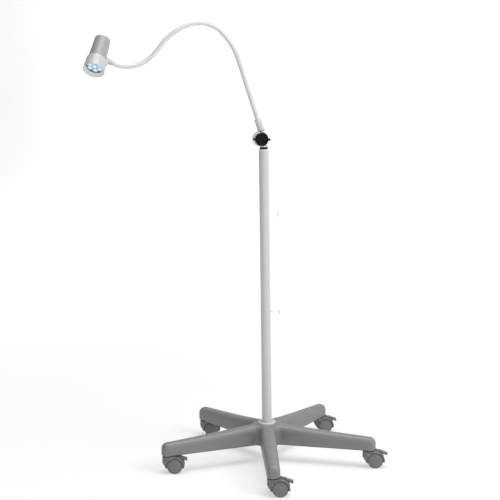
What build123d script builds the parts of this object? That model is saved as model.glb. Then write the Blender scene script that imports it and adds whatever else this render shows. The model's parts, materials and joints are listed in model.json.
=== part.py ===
"""Mobile examination light: a gooseneck LED lamp head on a column with a five-legged castor base.

Millimetres. Z is up and Z = 0 is the floor. The origin is on the floor under the column's axis.
X runs across the base and Y runs away from the person who faces the light.
"""
from build123d import *
from math import cos, radians, sin
import os

os.makedirs("parts", exist_ok=True)

# ---------------------------------------------------------------- driving dimensions
running_gap = 0.05  # radial clearance of a shaft that turns in its own bore
body_gap = 0.3  # clearance between faces of pieces that move past each other

# five-legged base
leg_count = 5
first_leg_angle = -87.5
stem_circle = 343.0  # radius on which the castor stems stand
leg_tip_radius = 365.0
leg_half_width_tip = 20.5
leg_half_width_root = 25.0
leg_corner = 14.0
leg_web_radius = 14.0  # plan radius between two legs at the hub
base_bottom = 60.5
hub_top = 127.0
hub_flat_radius = 36.0
leg_root_radius = 92.0
leg_root_top = 117.0
leg_tip_top = 99.0
leg_edge_round = 9.0
base_wall = 4.0
hub_boss_radius = 24.0
stem_boss_radius = 14.5

# column
tube_radius = 16.0
tube_wall = 1.5
tube_bottom = 76.0
tube_top = 1030.0
cap_height = 7.0
swivel_ring_radius = 13.4
swivel_ring_height = 6.0
foot_ring_radius = 29.0
foot_ring_height = 5.0

# cord hooks
hook_wire_radius = 2.0
hook_reach = 50.0
hook_tip = 13.0
hook_bend = 4.0
hook_angle = 25.0
upper_hook_height = 815.0
lower_hook_height = 503.0

# castors: twin wheels, all trailing the same way
wheel_radius = 25.0
wheel_width = 13.0
wheel_inner_face = 9.0
wheel_edge = 2.5
castor_trail = 20.0
axle_radius = 3.0
axle_half_length = 17.0
hood_half_width = 21.0
hood_top = 57.0
hood_front = -20.0
hood_arch_inner = 26.5
hood_arch_outer = 31.0
hood_web = 8.4
stem_radius = 5.5
lever_half_width = 8.0
lever_pivot_radius = 1.6
lever_root = 3.6

# knuckle between the column and the neck
arm_angle = 20.0  # how far the arm's plane is turned towards the person facing the light
knuckle_height = 1069.0
knuckle_offset = 12.0  # both stems pass the pivot at this distance
disc_radius = 24.0
disc_inner = 0.5
disc_outer = 9.5
neck_lean = 18.0
collar_radius = 11.5
collar_end = 25.0
ferrule_radius = 11.0
ferrule_end = 62.0
pivot_bolt_radius = 4.0
bolt_head_radius = 8.0
knob_radius = 20.0
knob_base = 9.8
knob_face = 23.4
wing_base = 14.0
wing_face = 21.0
wing_span = 27.3

# gooseneck: each run is a length and the lean from upright at its end
neck_radius = 7.25
neck_root_depth = 26.0
neck_tip_depth = 8.5
neck_runs = (
    (197.0, 18.0),
    (105.0, 46.0),
    (110.0, 106.0),
    (111.0, 139.0),
    (36.0, 139.0),
    (150.0, 63.0),
    (14.5, 63.0),
)
neck_joint_count = 7

# lamp head, measured along its own axis from the neck's entry, positive to the rear
head_twist = 32.0
housing_reach = 32.5  # from the housing's skin, where the neck ends its route, to the axis
rim = -56.0
housing_rear = -13.0
rim_radius = 32.8
housing_radius = 31.4
shoulder = 6.0
cup_depth = 12.0
cup_mouth = 30.4
cup_throat = 26.6
housing_wall = 2.4
body_rear = 63.0
body_radius_front = 26.9
body_radius_rear = 24.3
body_wall = 2.0
spigot_radius = 24.6
spigot_length = 9.0
boss_radius = 9.0
boss_foot = -20.0
sleeve_end = 50.0
optic_ring = 17.2
optic_radius = 7.9
optic_foot_radius = 3.2

# ---------------------------------------------------------------- derived frames
arm_cos = cos(radians(arm_angle))
arm_sin = sin(radians(arm_angle))
neck_plane = Plane(origin=(0, 0, 0), x_dir=(-arm_cos, -arm_sin, 0), z_dir=(-arm_sin, arm_cos, 0))


def on_neck_plane(reach, height):
    """A point of the arm's own plane in the part's frame."""
    return neck_plane.from_local_coords(Vector(reach, height, 0))


def lean_vector(lean):
    """The direction in the arm's plane that leans this far from upright."""
    return Vector(*(neck_plane.from_local_coords(Vector(sin(radians(lean)), cos(radians(lean)), 0))))


toward_viewer = Vector(arm_sin, -arm_cos, 0)
pivot = on_neck_plane(knuckle_offset, knuckle_height)
pivot_plane = Plane(origin=pivot, x_dir=(arm_cos, arm_sin, 0), z_dir=toward_viewer)

stem_start_reach = knuckle_offset - knuckle_offset * cos(radians(neck_lean))
stem_start_height = knuckle_height + knuckle_offset * sin(radians(neck_lean))


def neck_state(distance):
    """Reach, height and lean of the neck at a distance along it from the ferrule's mouth."""
    reach = stem_start_reach + ferrule_end * sin(radians(neck_lean))
    height = stem_start_height + ferrule_end * cos(radians(neck_lean))
    lean = neck_lean
    for length, end_lean in neck_runs:
        last_run = (length, end_lean) == neck_runs[-1]
        step = distance if (distance < length or last_run) else length
        turned = (end_lean - lean) * min(step, length) / length if step > 0 else 0.0
        bent = min(step, length) if step > 0 else 0.0
        chord = bent
        if abs(turned) > 1e-6:
            chord = bent * sin(radians(turned / 2)) / radians(turned / 2)
        reach += chord * sin(radians(lean + turned / 2))
        height += chord * cos(radians(lean + turned / 2))
        lean += turned
        straight = step - bent
        reach += straight * sin(radians(lean))
        height += straight * cos(radians(lean))
        distance -= step
        if distance <= 0:
            break
    return reach, height, lean


neck_length = sum(length for length, end_lean in neck_runs)
joint_spacing = neck_length / neck_joint_count
neck_joints = [joint_spacing * (index + 0.5) for index in range(neck_joint_count)]

end_reach, end_height, end_lean = neck_state(neck_length)
neck_end = on_neck_plane(end_reach, end_height)
neck_direction = lean_vector(end_lean)
beam = lean_vector(end_lean + 90) * cos(radians(head_twist)) + toward_viewer * sin(radians(head_twist))
head_centre = neck_end + neck_direction * housing_reach
head_plane = Plane(origin=head_centre, x_dir=neck_direction * -1, z_dir=beam * -1)
head_section = Plane(origin=head_centre, x_dir=head_plane.x_dir, z_dir=head_plane.y_dir * -1)

leg_angles = [first_leg_angle + 360 / leg_count * index for index in range(leg_count)]
castor_names = ("front", "right_front", "right_rear", "left_rear", "left_front")
stem_places = [
    (stem_circle * cos(radians(angle)), stem_circle * sin(radians(angle))) for angle in leg_angles
]


def save(name, part):
    """Write one finished piece under its own name."""
    part.label = name
    export_step(part, f"parts/{name}.step")


def side_plane(place):
    """The upright plane through a castor's stem in which its side outline is drawn."""
    return Plane(origin=(place[0], place[1], 0), x_dir=(1, 0, 0), z_dir=(0, -1, 0))


# ---------------------------------------------------------------- base
base_section = Plane(
    origin=(0, 0, 0),
    x_dir=(cos(radians(first_leg_angle + 36)), sin(radians(first_leg_angle + 36)), 0),
    z_dir=(sin(radians(first_leg_angle + 36)), -cos(radians(first_leg_angle + 36)), 0),
)


def leg_outline(inset):
    """The five legs in plan, drawn in by a wall's thickness; add it inside a BuildSketch."""
    with PolarLocations(0, leg_count, start_angle=first_leg_angle):
        Polygon(
            (0, leg_half_width_root - inset),
            (leg_tip_radius - inset, leg_half_width_tip - inset),
            (leg_tip_radius - inset, -leg_half_width_tip + inset),
            (0, -leg_half_width_root + inset),
            align=None,
        )


def base_top(drop):
    """The top line that all legs share, to turn about the column; add it inside a BuildSketch."""
    Polygon(
        (0, base_bottom - 1),
        (0, hub_top - drop),
        (hub_flat_radius - drop, hub_top - drop),
        (leg_root_radius, leg_root_top - drop),
        (leg_tip_radius + 5, leg_tip_top - drop),
        (leg_tip_radius + 5, base_bottom - 1),
        align=None,
    )


with BuildPart() as hollow:
    with BuildSketch(Plane.XY.offset(base_bottom)) as hollow_plan:
        leg_outline(base_wall)
        corners = hollow_plan.vertices().sort_by_distance((0, 0, 0))
        fillet(corners[-2 * leg_count:], leg_corner - base_wall)
    extrude(amount=hub_top - base_bottom)
    with BuildSketch(base_section):
        base_top(base_wall)
    revolve(axis=Axis.Z, mode=Mode.INTERSECT)
    # the column's boss and the castor bosses are left standing inside the hollow
    with Locations((0, 0, base_bottom)):
        Cylinder(
            hub_boss_radius,
            hub_top - base_bottom,
            align=(Align.CENTER, Align.CENTER, Align.MIN),
            mode=Mode.SUBTRACT,
        )
    with Locations([(x, y, base_bottom) for x, y in stem_places]):
        Cylinder(
            stem_boss_radius,
            hub_top - base_bottom,
            align=(Align.CENTER, Align.CENTER, Align.MIN),
            mode=Mode.SUBTRACT,
        )

socket_radius = 9.5
socket_depth = 26.0
socket_floor = base_bottom + socket_depth

with BuildPart() as star_base:
    with BuildSketch(Plane.XY.offset(base_bottom)) as plan:
        leg_outline(0)
        corners = plan.vertices().sort_by_distance((0, 0, 0))
        fillet(corners[:leg_count], leg_web_radius)
        corners = plan.vertices().sort_by_distance((0, 0, 0))
        fillet(corners[-2 * leg_count:], leg_corner)
    extrude(amount=hub_top - base_bottom)
    with BuildSketch(base_section):
        base_top(0)
    revolve(axis=Axis.Z, mode=Mode.INTERSECT)
    walls = star_base.faces().filter_by(lambda face: abs(face.normal_at().Z) < 0.01)
    wall_edges = walls.edges().filter_by(lambda edge: edge.center().Z > leg_tip_top - 5)
    rounded = [edge for edge in wall_edges if abs(edge.tangent_at(0.5).Z) < 0.5]
    fillet(rounded, leg_edge_round)
    add(hollow.part, mode=Mode.SUBTRACT)
    with Locations((0, 0, tube_bottom)):
        Cylinder(
            tube_radius + running_gap,
            hub_top,
            align=(Align.CENTER, Align.CENTER, Align.MIN),
            mode=Mode.SUBTRACT,
        )
    Cylinder(5.5, 2 * tube_bottom, mode=Mode.SUBTRACT)
    with Locations([(x, y, base_bottom - 1) for x, y in stem_places]):
        Cylinder(
            socket_radius,
            socket_depth + 1,
            align=(Align.CENTER, Align.CENTER, Align.MIN),
            mode=Mode.SUBTRACT,
        )
save("star_base", star_base.part)

with BuildPart() as castor_sockets:
    with Locations([(x, y, base_bottom) for x, y in stem_places]):
        Cylinder(socket_radius, socket_depth, align=(Align.CENTER, Align.CENTER, Align.MIN))
        Cylinder(
            stem_radius,
            socket_depth - 2,
            align=(Align.CENTER, Align.CENTER, Align.MIN),
            mode=Mode.SUBTRACT,
        )
save("castor_sockets", castor_sockets.part)

stem_foot = 40.0
stem_head = 83.0
with BuildPart() as castor_stems:
    for x, y in stem_places:
        with BuildSketch(Plane(origin=(x, y, stem_foot))):
            Circle(stem_radius)
        extrude(amount=stem_head - stem_foot)
        with BuildSketch(Plane(origin=(x, y, hood_top + body_gap))):
            Circle(8.5)
        extrude(amount=base_bottom - hood_top - body_gap)
    chamfer(castor_stems.edges().group_by(Axis.Z)[-1], 1)
save("castor_stems", castor_stems.part)

with BuildPart() as foot_ring:
    with BuildSketch(Plane.XZ):
        with BuildLine():
            Polyline(
                (tube_radius + running_gap, hub_top),
                (foot_ring_radius, hub_top),
                (foot_ring_radius, hub_top + foot_ring_height - 1),
                (foot_ring_radius - 1, hub_top + foot_ring_height),
                (foot_ring_radius - 6, hub_top + foot_ring_height),
                (foot_ring_radius - 7.5, hub_top + foot_ring_height - 2),
                (tube_radius + running_gap, hub_top + foot_ring_height - 2),
                close=True,
            )
        make_face()
    revolve(axis=Axis.Z)
save("foot_ring", foot_ring.part)

# ---------------------------------------------------------------- column
with BuildPart() as column_tube:
    with BuildSketch(Plane.XY.offset(tube_bottom)):
        Circle(tube_radius)
        Circle(tube_radius - tube_wall, mode=Mode.SUBTRACT)
    extrude(amount=tube_top - tube_bottom)
    for height in (lower_hook_height, upper_hook_height):
        hook_hole = Plane(origin=(0, 0, height), z_dir=(cos(radians(hook_angle)), sin(radians(hook_angle)), 0))
        with BuildSketch(hook_hole):
            Circle(hook_wire_radius)
        extrude(amount=2 * tube_radius, mode=Mode.SUBTRACT)
    with BuildSketch(Plane(origin=(0, 0, 168), z_dir=(0, 1, 0))):
        Circle(6)
    extrude(amount=2 * tube_radius, mode=Mode.SUBTRACT)
save("column_tube", column_tube.part)

insert_height = 26.0
bolt_radius = 5.0
with BuildPart() as column_insert:
    with BuildSketch(Plane.XY.offset(tube_bottom)):
        Circle(tube_radius - tube_wall)
        Circle(bolt_radius, mode=Mode.SUBTRACT)
    extrude(amount=insert_height)
save("column_insert", column_insert.part)

with BuildPart() as column_bolt:
    with BuildSketch(Plane.XY.offset(base_bottom - 2)):
        Circle(12)
    extrude(amount=2)
    with BuildSketch(Plane.XY.offset(base_bottom - 8.5)):
        RegularPolygon(8.5, 6, major_radius=False)
    extrude(amount=6.5)
    with BuildSketch(Plane.XY.offset(base_bottom)):
        Circle(bolt_radius)
    extrude(amount=tube_bottom - base_bottom + 20)
save("column_bolt", column_bolt.part)

spindle_radius = 8.0
with BuildPart() as column_cap:
    with BuildSketch(Plane.XY.offset(tube_top)):
        Circle(tube_radius)
    extrude(amount=cap_height)
    fillet(column_cap.edges().group_by(Axis.Z)[-1], 1.2)
    with BuildSketch(Plane.XY.offset(tube_top - 42)):
        Circle(tube_radius - tube_wall)
    extrude(amount=42)
    with BuildSketch(Plane.XY.offset(tube_top - 42)):
        Circle(spindle_radius + running_gap)
    extrude(amount=42 + cap_height, mode=Mode.SUBTRACT)
save("column_cap", column_cap.part)

ring_base = tube_top + cap_height
with BuildPart() as swivel_ring:
    with BuildSketch(Plane.XY.offset(ring_base)):
        Circle(swivel_ring_radius)
        Circle(spindle_radius + running_gap, mode=Mode.SUBTRACT)
    extrude(amount=swivel_ring_height)
    fillet(swivel_ring.edges().filter_by(GeomType.CIRCLE).sort_by(SortBy.RADIUS)[-2:], 0.8)
save("swivel_ring", swivel_ring.part)


def make_hook(height, turn):
    """One bent-wire cord hook; turn is 1 for a tip that points up and -1 for one that points down."""
    out = Vector(cos(radians(hook_angle)), sin(radians(hook_angle)), 0)
    hook_plane = Plane(origin=(0, 0, height), x_dir=out, z_dir=(out.Y, -out.X, 0))
    inside = tube_radius - tube_wall - 2.5
    with BuildPart() as hook:
        with BuildLine(hook_plane) as wire:
            Line((inside, 0), (hook_reach - hook_bend, 0))
            RadiusArc(
                (hook_reach - hook_bend, 0),
                (hook_reach, turn * hook_bend),
                -turn * hook_bend,
            )
            Line((hook_reach, turn * hook_bend), (hook_reach, turn * hook_tip))
        with BuildSketch(Plane(origin=hook_plane.from_local_coords(Vector(inside, 0, 0)), z_dir=out)):
            Circle(hook_wire_radius)
        sweep(path=wire.line)
    return hook.part


save("upper_hook", make_hook(upper_hook_height, 1))
save("lower_hook", make_hook(lower_hook_height, -1))

with BuildPart() as cord_gland:
    with BuildSketch(Plane(origin=(0, tube_radius - tube_wall - 4, 168), z_dir=(0, 1, 0))):
        Circle(6)
        Circle(3.2, mode=Mode.SUBTRACT)
    extrude(amount=tube_wall + 4 + 4)
    with BuildSketch(Plane(origin=(0, tube_radius + 0.4, 168), z_dir=(0, 1, 0))):
        Circle(8.5)
        Circle(3.2, mode=Mode.SUBTRACT)
    extrude(amount=3.6)
    chamfer(cord_gland.edges().filter_by(GeomType.CIRCLE).sort_by(Axis.Y)[-2:], 0.6)
    with BuildSketch(Plane.XY.offset(150)):
        Circle(tube_radius)
        Circle(tube_radius - tube_wall, mode=Mode.SUBTRACT)
    extrude(amount=1, mode=Mode.SUBTRACT)
save("cord_gland", cord_gland.part)


# ---------------------------------------------------------------- castors
def arch_point(radius, angle):
    """A point at an angle round the axle, in the castor's side outline."""
    return (
        castor_trail + radius * cos(radians(angle)),
        wheel_radius + radius * sin(radians(angle)),
    )


lever_pivot = arch_point((hood_arch_inner + hood_arch_outer) / 2, 76)
lever_outline = (
    (lever_pivot[0] - 1.5, lever_pivot[1] + 3.2),
    (36, 57.6),
    (46, 53),
    (61, 47.8),
    (60.3, 40.5),
    (55.5, 42),
    (49, 44.5),
    (34.3, 53.2),
    (lever_pivot[0] + 1, lever_pivot[1] - 3.2),
)


def make_hood(place):
    """The castor's hood: a cheek over the stem, an arch over the twin wheels and a web between them."""
    middle = side_plane(place)
    with BuildPart() as hood:
        with BuildSketch(middle) as outline:
            Polygon(
                (hood_front, hood_top),
                (castor_trail, hood_top),
                (castor_trail, wheel_radius),
                (-7, 23),
                (-14, 27),
                (hood_front, 36),
                align=None,
            )
            with Locations((castor_trail, wheel_radius)):
                Circle(hood_arch_outer)
            with Locations((castor_trail + 30, -30)):
                Rectangle(150, 100, mode=Mode.SUBTRACT)
            fillet(outline.vertices().group_by(Axis.X)[0].sort_by(Axis.Y)[-1], 3)
        extrude(amount=hood_half_width, both=True)
        flanks = hood.faces().filter_by(Axis.Y).edges()
        fillet([edge for edge in flanks if edge.center().Z > wheel_radius + 1], 2)
        with BuildSketch(middle):
            with Locations((castor_trail, wheel_radius)):
                Circle(hood_arch_inner)
        extrude(amount=hood_half_width + 1, both=True, mode=Mode.SUBTRACT)
        with BuildSketch(middle):
            with Locations((castor_trail, wheel_radius)):
                Circle(hood_arch_inner + 0.5)
            with Locations((castor_trail, 0)):
                Rectangle(80, 28, mode=Mode.SUBTRACT)
        extrude(amount=hood_web, both=True)
        with BuildSketch(middle):
            with Locations((castor_trail, wheel_radius)):
                Circle(axle_radius)
        extrude(amount=hood_web + 1, both=True, mode=Mode.SUBTRACT)
        # the slot that the brake lever lies in, and the holes for its trunnions
        with BuildSketch(middle):
            Polygon(
                arch_point(hood_arch_inner + 1.0, 88),
                arch_point(hood_arch_outer + 12, 88),
                arch_point(hood_arch_outer + 22, 50),
                arch_point(hood_arch_outer + 12, 14),
                arch_point(hood_arch_inner + 0.9, 14),
                arch_point(hood_arch_inner + 1.4, 32),
                arch_point(hood_arch_inner + 1.4, 50),
                arch_point(hood_arch_inner + 1.4, 66),
                align=None,
            )
            with Locations(lever_pivot):
                Circle(lever_root + 0.6)
        extrude(amount=lever_half_width + 0.4, both=True, mode=Mode.SUBTRACT)
        with BuildSketch(middle):
            with Locations(lever_pivot):
                Circle(lever_pivot_radius + running_gap)
        extrude(amount=lever_half_width + 3, both=True, mode=Mode.SUBTRACT)
        with BuildSketch(Plane(origin=(place[0], place[1], stem_foot - 0.5))):
            Circle(stem_radius + running_gap)
        extrude(amount=hood_top, mode=Mode.SUBTRACT)
    return hood.part


def make_axle(place):
    """The axle pin that both wheels turn on."""
    with BuildPart() as axle:
        with BuildSketch(side_plane(place)):
            with Locations((castor_trail, wheel_radius)):
                Circle(axle_radius)
        extrude(amount=axle_half_length, both=True)
    return axle.part


def make_wheel(place, side):
    """One of the twin wheels; side is -1 on the left of the trail and 1 on the right."""
    hub = Vector(place[0] + castor_trail, place[1] + side * wheel_inner_face, wheel_radius)
    wheel_plane = Plane(origin=hub, x_dir=(1, 0, 0), z_dir=(0, side, 0))
    with BuildPart() as wheel:
        with BuildSketch(wheel_plane):
            Circle(wheel_radius)
        extrude(amount=wheel_width)
        fillet(wheel.edges().filter_by(GeomType.CIRCLE), wheel_edge)
        # shallow dish in the outer face and the blind hole for the axle
        with BuildSketch(wheel_plane.offset(wheel_width - 0.6)):
            Circle(wheel_radius - 5)
            Circle(wheel_radius - 6, mode=Mode.SUBTRACT)
        extrude(amount=1, mode=Mode.SUBTRACT)
        with BuildSketch(wheel_plane):
            Circle(axle_radius + running_gap)
        extrude(amount=axle_half_length - wheel_inner_face + 0.5, mode=Mode.SUBTRACT)
    return wheel.part


def make_lever(place):
    """The brake lever, with a trunnion on each side of its root."""
    middle = side_plane(place)
    with BuildPart() as lever:
        with BuildSketch(middle):
            Polygon(*lever_outline, align=None)
            with Locations(lever_pivot):
                Circle(lever_root)
        extrude(amount=lever_half_width, both=True)
        sides = lever.edges().filter_by(Axis.Y)
        fillet(sides.sort_by(Axis.X)[-2:], 1.2)
        with BuildSketch(middle):
            with Locations(lever_pivot):
                Circle(lever_pivot_radius)
        extrude(amount=lever_half_width + 2.5, both=True)
    return lever.part


for castor, place in zip(castor_names, stem_places):
    save(f"{castor}_castor_hood", make_hood(place))
    save(f"{castor}_castor_axle", make_axle(place))
    save(f"{castor}_wheel_left", make_wheel(place, -1))
    save(f"{castor}_wheel_right", make_wheel(place, 1))
    save(f"{castor}_brake_lever", make_lever(place))

# ---------------------------------------------------------------- knuckle
post_base = ring_base + swivel_ring_height + body_gap
pivot_section = Plane(origin=pivot, x_dir=pivot_plane.x_dir, z_dir=pivot_plane.y_dir * -1)
pivot_axis = Axis(pivot, toward_viewer)


def disc_half(side):
    """Half the section of one hinge disc; side is 1 for the near disc and -1 for the far one."""
    Polygon(
        (0, side * disc_inner),
        (disc_radius - 0.4, side * disc_inner),
        (disc_radius, side * (disc_inner + 0.4)),
        (disc_radius, side * (disc_outer - 1.5)),
        (disc_radius - 1.5, side * disc_outer),
        (0, side * disc_outer),
        align=None,
    )


with BuildPart() as swivel_post:
    with BuildSketch(Plane.XY.offset(post_base)):
        Circle(swivel_ring_radius)
    extrude(amount=5)
    with BuildSketch(Plane.XY.offset(post_base)):
        Circle(tube_radius - 4.2)
    extrude(amount=knuckle_height - post_base)
    # flat cheek where the knob turns, and room for the upper half on the other side
    with BuildSketch(pivot_plane.offset(disc_outer)):
        Circle(wing_span)
    extrude(amount=10, mode=Mode.SUBTRACT)
    with BuildSketch(pivot_plane.offset(disc_inner)):
        Circle(disc_radius + 0.6)
    extrude(amount=-20, mode=Mode.SUBTRACT)
    with BuildSketch(pivot_section):
        disc_half(1)
    revolve(axis=pivot_axis)
    with BuildSketch(Plane.XY.offset(tube_top - 38)):
        Circle(spindle_radius)
    extrude(amount=post_base - tube_top + 38)
    with BuildSketch(pivot_plane):
        Circle(pivot_bolt_radius)
    extrude(amount=20, mode=Mode.SUBTRACT)
save("swivel_post", swivel_post.part)


def stem_plane(distance):
    """The plane across the upper stem at a distance from where it passes the pivot."""
    foot = on_neck_plane(
        stem_start_reach + distance * sin(radians(neck_lean)),
        stem_start_height + distance * cos(radians(neck_lean)),
    )
    return Plane(origin=foot, x_dir=neck_plane.z_dir, z_dir=lean_vector(neck_lean))


with BuildPart() as tilt_head:
    with BuildSketch(stem_plane(0)):
        Circle(collar_radius)
    extrude(amount=collar_end)
    with BuildSketch(pivot_plane.offset(-disc_inner)):
        Circle(disc_radius + 0.6)
    extrude(amount=20, mode=Mode.SUBTRACT)
    with BuildSketch(pivot_section):
        disc_half(-1)
    revolve(axis=pivot_axis)
    with BuildSketch(pivot_plane.offset(-disc_outer)):
        Circle(bolt_head_radius + 1)
    extrude(amount=-10, mode=Mode.SUBTRACT)
    with BuildSketch(pivot_plane):
        Circle(pivot_bolt_radius + running_gap)
    extrude(amount=-20, mode=Mode.SUBTRACT)
save("tilt_head", tilt_head.part)

with BuildPart() as friction_washer:
    with BuildSketch(pivot_plane.offset(-disc_inner + 0.1)):
        Circle(disc_radius - 2)
        Circle(pivot_bolt_radius + 0.1, mode=Mode.SUBTRACT)
    extrude(amount=2 * disc_inner - 0.1)
save("friction_washer", friction_washer.part)

with BuildPart() as pivot_bolt:
    with BuildSketch(pivot_plane.offset(-disc_outer - body_gap)):
        Circle(pivot_bolt_radius)
    extrude(amount=disc_outer + body_gap + knob_face - 5)
    with BuildSketch(pivot_plane.offset(-disc_outer - body_gap)):
        Circle(bolt_head_radius)
    extrude(amount=-4)
    fillet(pivot_bolt.edges().filter_by(GeomType.CIRCLE).sort_by_distance(pivot_plane.offset(-20).origin)[0], 1.5)
save("pivot_bolt", pivot_bolt.part)

with BuildPart() as clamp_knob:
    with BuildSketch(pivot_plane.offset(knob_base)):
        Circle(knob_radius)
    extrude(amount=knob_face - knob_base)
    fillet(clamp_knob.edges().filter_by(GeomType.CIRCLE), 1.5)
    with BuildSketch(pivot_plane.offset(wing_base)) as wings:
        for side in (-1, 1):
            Polygon(
                (0, 7),
                (side * (knob_radius - 1), 5),
                (side * (wing_span - 4), 3.4),
                (side * (wing_span - 4), -3.4),
                (side * (knob_radius - 1), -5),
                (0, -7),
                align=None,
            )
            with Locations((side * (wing_span - 4), 0)):
                Circle(4)
    extrude(amount=wing_face - wing_base)
    with BuildSketch(pivot_plane.offset(knob_base)):
        Circle(pivot_bolt_radius + running_gap)
    extrude(amount=knob_face - knob_base - 4, mode=Mode.SUBTRACT)
save("clamp_knob", clamp_knob.part)

with BuildPart() as neck_ferrule:
    with BuildSketch(stem_plane(collar_end)):
        Circle(ferrule_radius)
    extrude(amount=ferrule_end - collar_end)
    fillet(neck_ferrule.edges().filter_by(GeomType.CIRCLE).sort_by(Axis.Z)[-1], 1.5)
    with BuildSketch(stem_plane(ferrule_end - neck_root_depth)):
        Circle(neck_radius)
    extrude(amount=neck_root_depth, mode=Mode.SUBTRACT)
save("neck_ferrule", neck_ferrule.part)


# ---------------------------------------------------------------- gooseneck
run_ends = [0.0]
for length, run_lean in neck_runs:
    run_ends.append(run_ends[-1] + length)


def neck_span_plane(distance):
    """The plane across the neck at a distance from the ferrule's mouth."""
    reach, height, lean = neck_state(distance)
    return Plane(origin=on_neck_plane(reach, height), x_dir=neck_plane.z_dir, z_dir=lean_vector(lean))


def make_link(start, end, has_ball, has_socket):
    """One length of the gooseneck, with a ball at the joint it hangs on and a socket at the next."""
    stops = [start] + [stop for stop in run_ends if start + 1 < stop < end - 1] + [end]
    with BuildPart() as link:
        for first, last in zip(stops, stops[1:]):
            low, middle, high = (neck_state(first), neck_state((first + last) / 2), neck_state(last))
            with BuildLine(neck_plane) as path:
                if abs(high[2] - low[2]) < 0.01:
                    Line(low[:2], high[:2])
                else:
                    ThreePointArc(low[:2], middle[:2], high[:2])
            with BuildSketch(neck_span_plane(first)):
                Circle(neck_radius)
            sweep(path=path.line)
        if has_socket:
            with Locations(neck_span_plane(end).origin):
                Sphere(neck_radius + body_gap, mode=Mode.SUBTRACT)
        if has_ball:
            with Locations(neck_span_plane(start).origin):
                Sphere(neck_radius)
    return link.part


link_stops = [-neck_root_depth] + neck_joints + [neck_length + neck_tip_depth]
link_count = len(link_stops) - 1
for index in range(link_count):
    link = make_link(link_stops[index], link_stops[index + 1], index > 0, index < link_count - 1)
    save(f"neck_link_{index + 1}", link)


# ---------------------------------------------------------------- lamp head
def head_level(distance):
    """The plane across the head at a distance along its axis."""
    return head_plane.offset(distance)


def turned(*points):
    """A closed outline of (radius, distance along the head's axis), to turn about that axis."""
    return Polygon(*points, align=None)


head_axis = Axis(head_centre, head_plane.z_dir)


def boss_outline(growth):
    """The end view of the neck's boss: a round top on a straight-sided foot."""
    SlotCenterPoint(((boss_foot) / 2, 0), (0, 0), 2 * (boss_radius + growth))


entry_plane = Plane(
    origin=head_centre + head_plane.x_dir * 20.0,
    x_dir=head_plane.z_dir,
    z_dir=head_plane.x_dir,
)

with BuildPart() as lamp_housing:
    with BuildSketch(head_section):
        turned(
            (rim_radius - 0.8, rim),
            (rim_radius, rim + 0.8),
            (rim_radius - 0.3, rim + 5),
            (housing_radius, rim + 22),
            (housing_radius, housing_rear - shoulder),
            (housing_radius - 1.8, housing_rear - shoulder * 0.3),
            (housing_radius - 4.2, housing_rear),
            (spigot_radius + running_gap, housing_rear),
            (spigot_radius + running_gap, housing_rear - spigot_length),
            (housing_radius - housing_wall, housing_rear - spigot_length - 4),
            (housing_radius - housing_wall, rim + cup_depth + 3),
            (cup_throat, rim + cup_depth),
            (cup_mouth, rim),
        )
    revolve(axis=head_axis)
    with BuildSketch(entry_plane.offset(6)):
        boss_outline(0)
    extrude(amount=housing_reach - 20 - 6 + 2)
    with BuildSketch(head_level(housing_rear - spigot_length)):
        Circle(spigot_radius + running_gap)
    extrude(amount=spigot_length + 20, mode=Mode.SUBTRACT)
    with BuildSketch(entry_plane):
        Circle(neck_radius)
    extrude(amount=20, mode=Mode.SUBTRACT)
save("lamp_housing", lamp_housing.part)

with BuildPart() as rear_body:
    with BuildSketch(head_section):
        turned(
            (spigot_radius, housing_rear - spigot_length),
            (spigot_radius, housing_rear),
            (body_radius_front, housing_rear),
            (body_radius_rear, body_rear - 2),
            (body_radius_rear - 2, body_rear),
            (0, body_rear),
            (0, body_rear - body_wall),
            (body_radius_rear - body_wall, body_rear - body_wall),
            (spigot_radius - body_wall, housing_rear),
            (spigot_radius - body_wall, housing_rear - spigot_length),
        )
    revolve(axis=head_axis)
    with BuildSketch(entry_plane.offset(-2)):
        boss_outline(body_gap)
    extrude(amount=20, mode=Mode.SUBTRACT)
save("rear_body", rear_body.part)

with BuildPart() as neck_collar:
    with BuildSketch(entry_plane.offset(housing_reach - 20 + 2)):
        Circle(boss_radius - 0.6)
    extrude(amount=sleeve_end - housing_reach - 2, taper=2)
    with BuildSketch(entry_plane):
        Circle(neck_radius + 0.02)
    extrude(amount=40, mode=Mode.SUBTRACT)
save("neck_collar", neck_collar.part)

lens_front = rim + cup_depth + 0.6
cover_thickness = 1.6
with BuildPart() as lens_cover:
    with BuildSketch(head_level(lens_front)):
        Circle(cup_throat + 0.4)
    extrude(amount=cover_thickness)
save("lens_cover", lens_cover.part)

optic_front = lens_front + cover_thickness + 0.4
optic_depth = 8.0
optic_places = [(0.0, 0.0)] + [
    (optic_ring * cos(radians(60 * index)), optic_ring * sin(radians(60 * index))) for index in range(6)
]
board_level = optic_front + optic_depth
with BuildPart() as led_optics:
    for optic_place in optic_places:
        with BuildSketch(head_level(optic_front)):
            with Locations(optic_place):
                Circle(optic_radius)
        with BuildSketch(head_level(board_level)):
            with Locations(optic_place):
                Circle(optic_foot_radius)
        loft()
save("led_optics", led_optics.part)

with BuildPart() as optic_holder:
    with BuildSketch(head_level(optic_front + 3)):
        Circle(housing_radius - housing_wall - 0.2)
    extrude(amount=2.5)
    with BuildSketch(head_level(optic_front + 2)):
        with Locations(optic_places):
            Circle(optic_radius - 0.6)
    extrude(amount=5, mode=Mode.SUBTRACT)
save("optic_holder", optic_holder.part)

with BuildPart() as led_board:
    with BuildSketch(head_level(board_level)):
        Circle(housing_radius - housing_wall - 0.4)
    extrude(amount=1.6)
save("led_board", led_board.part)

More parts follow.
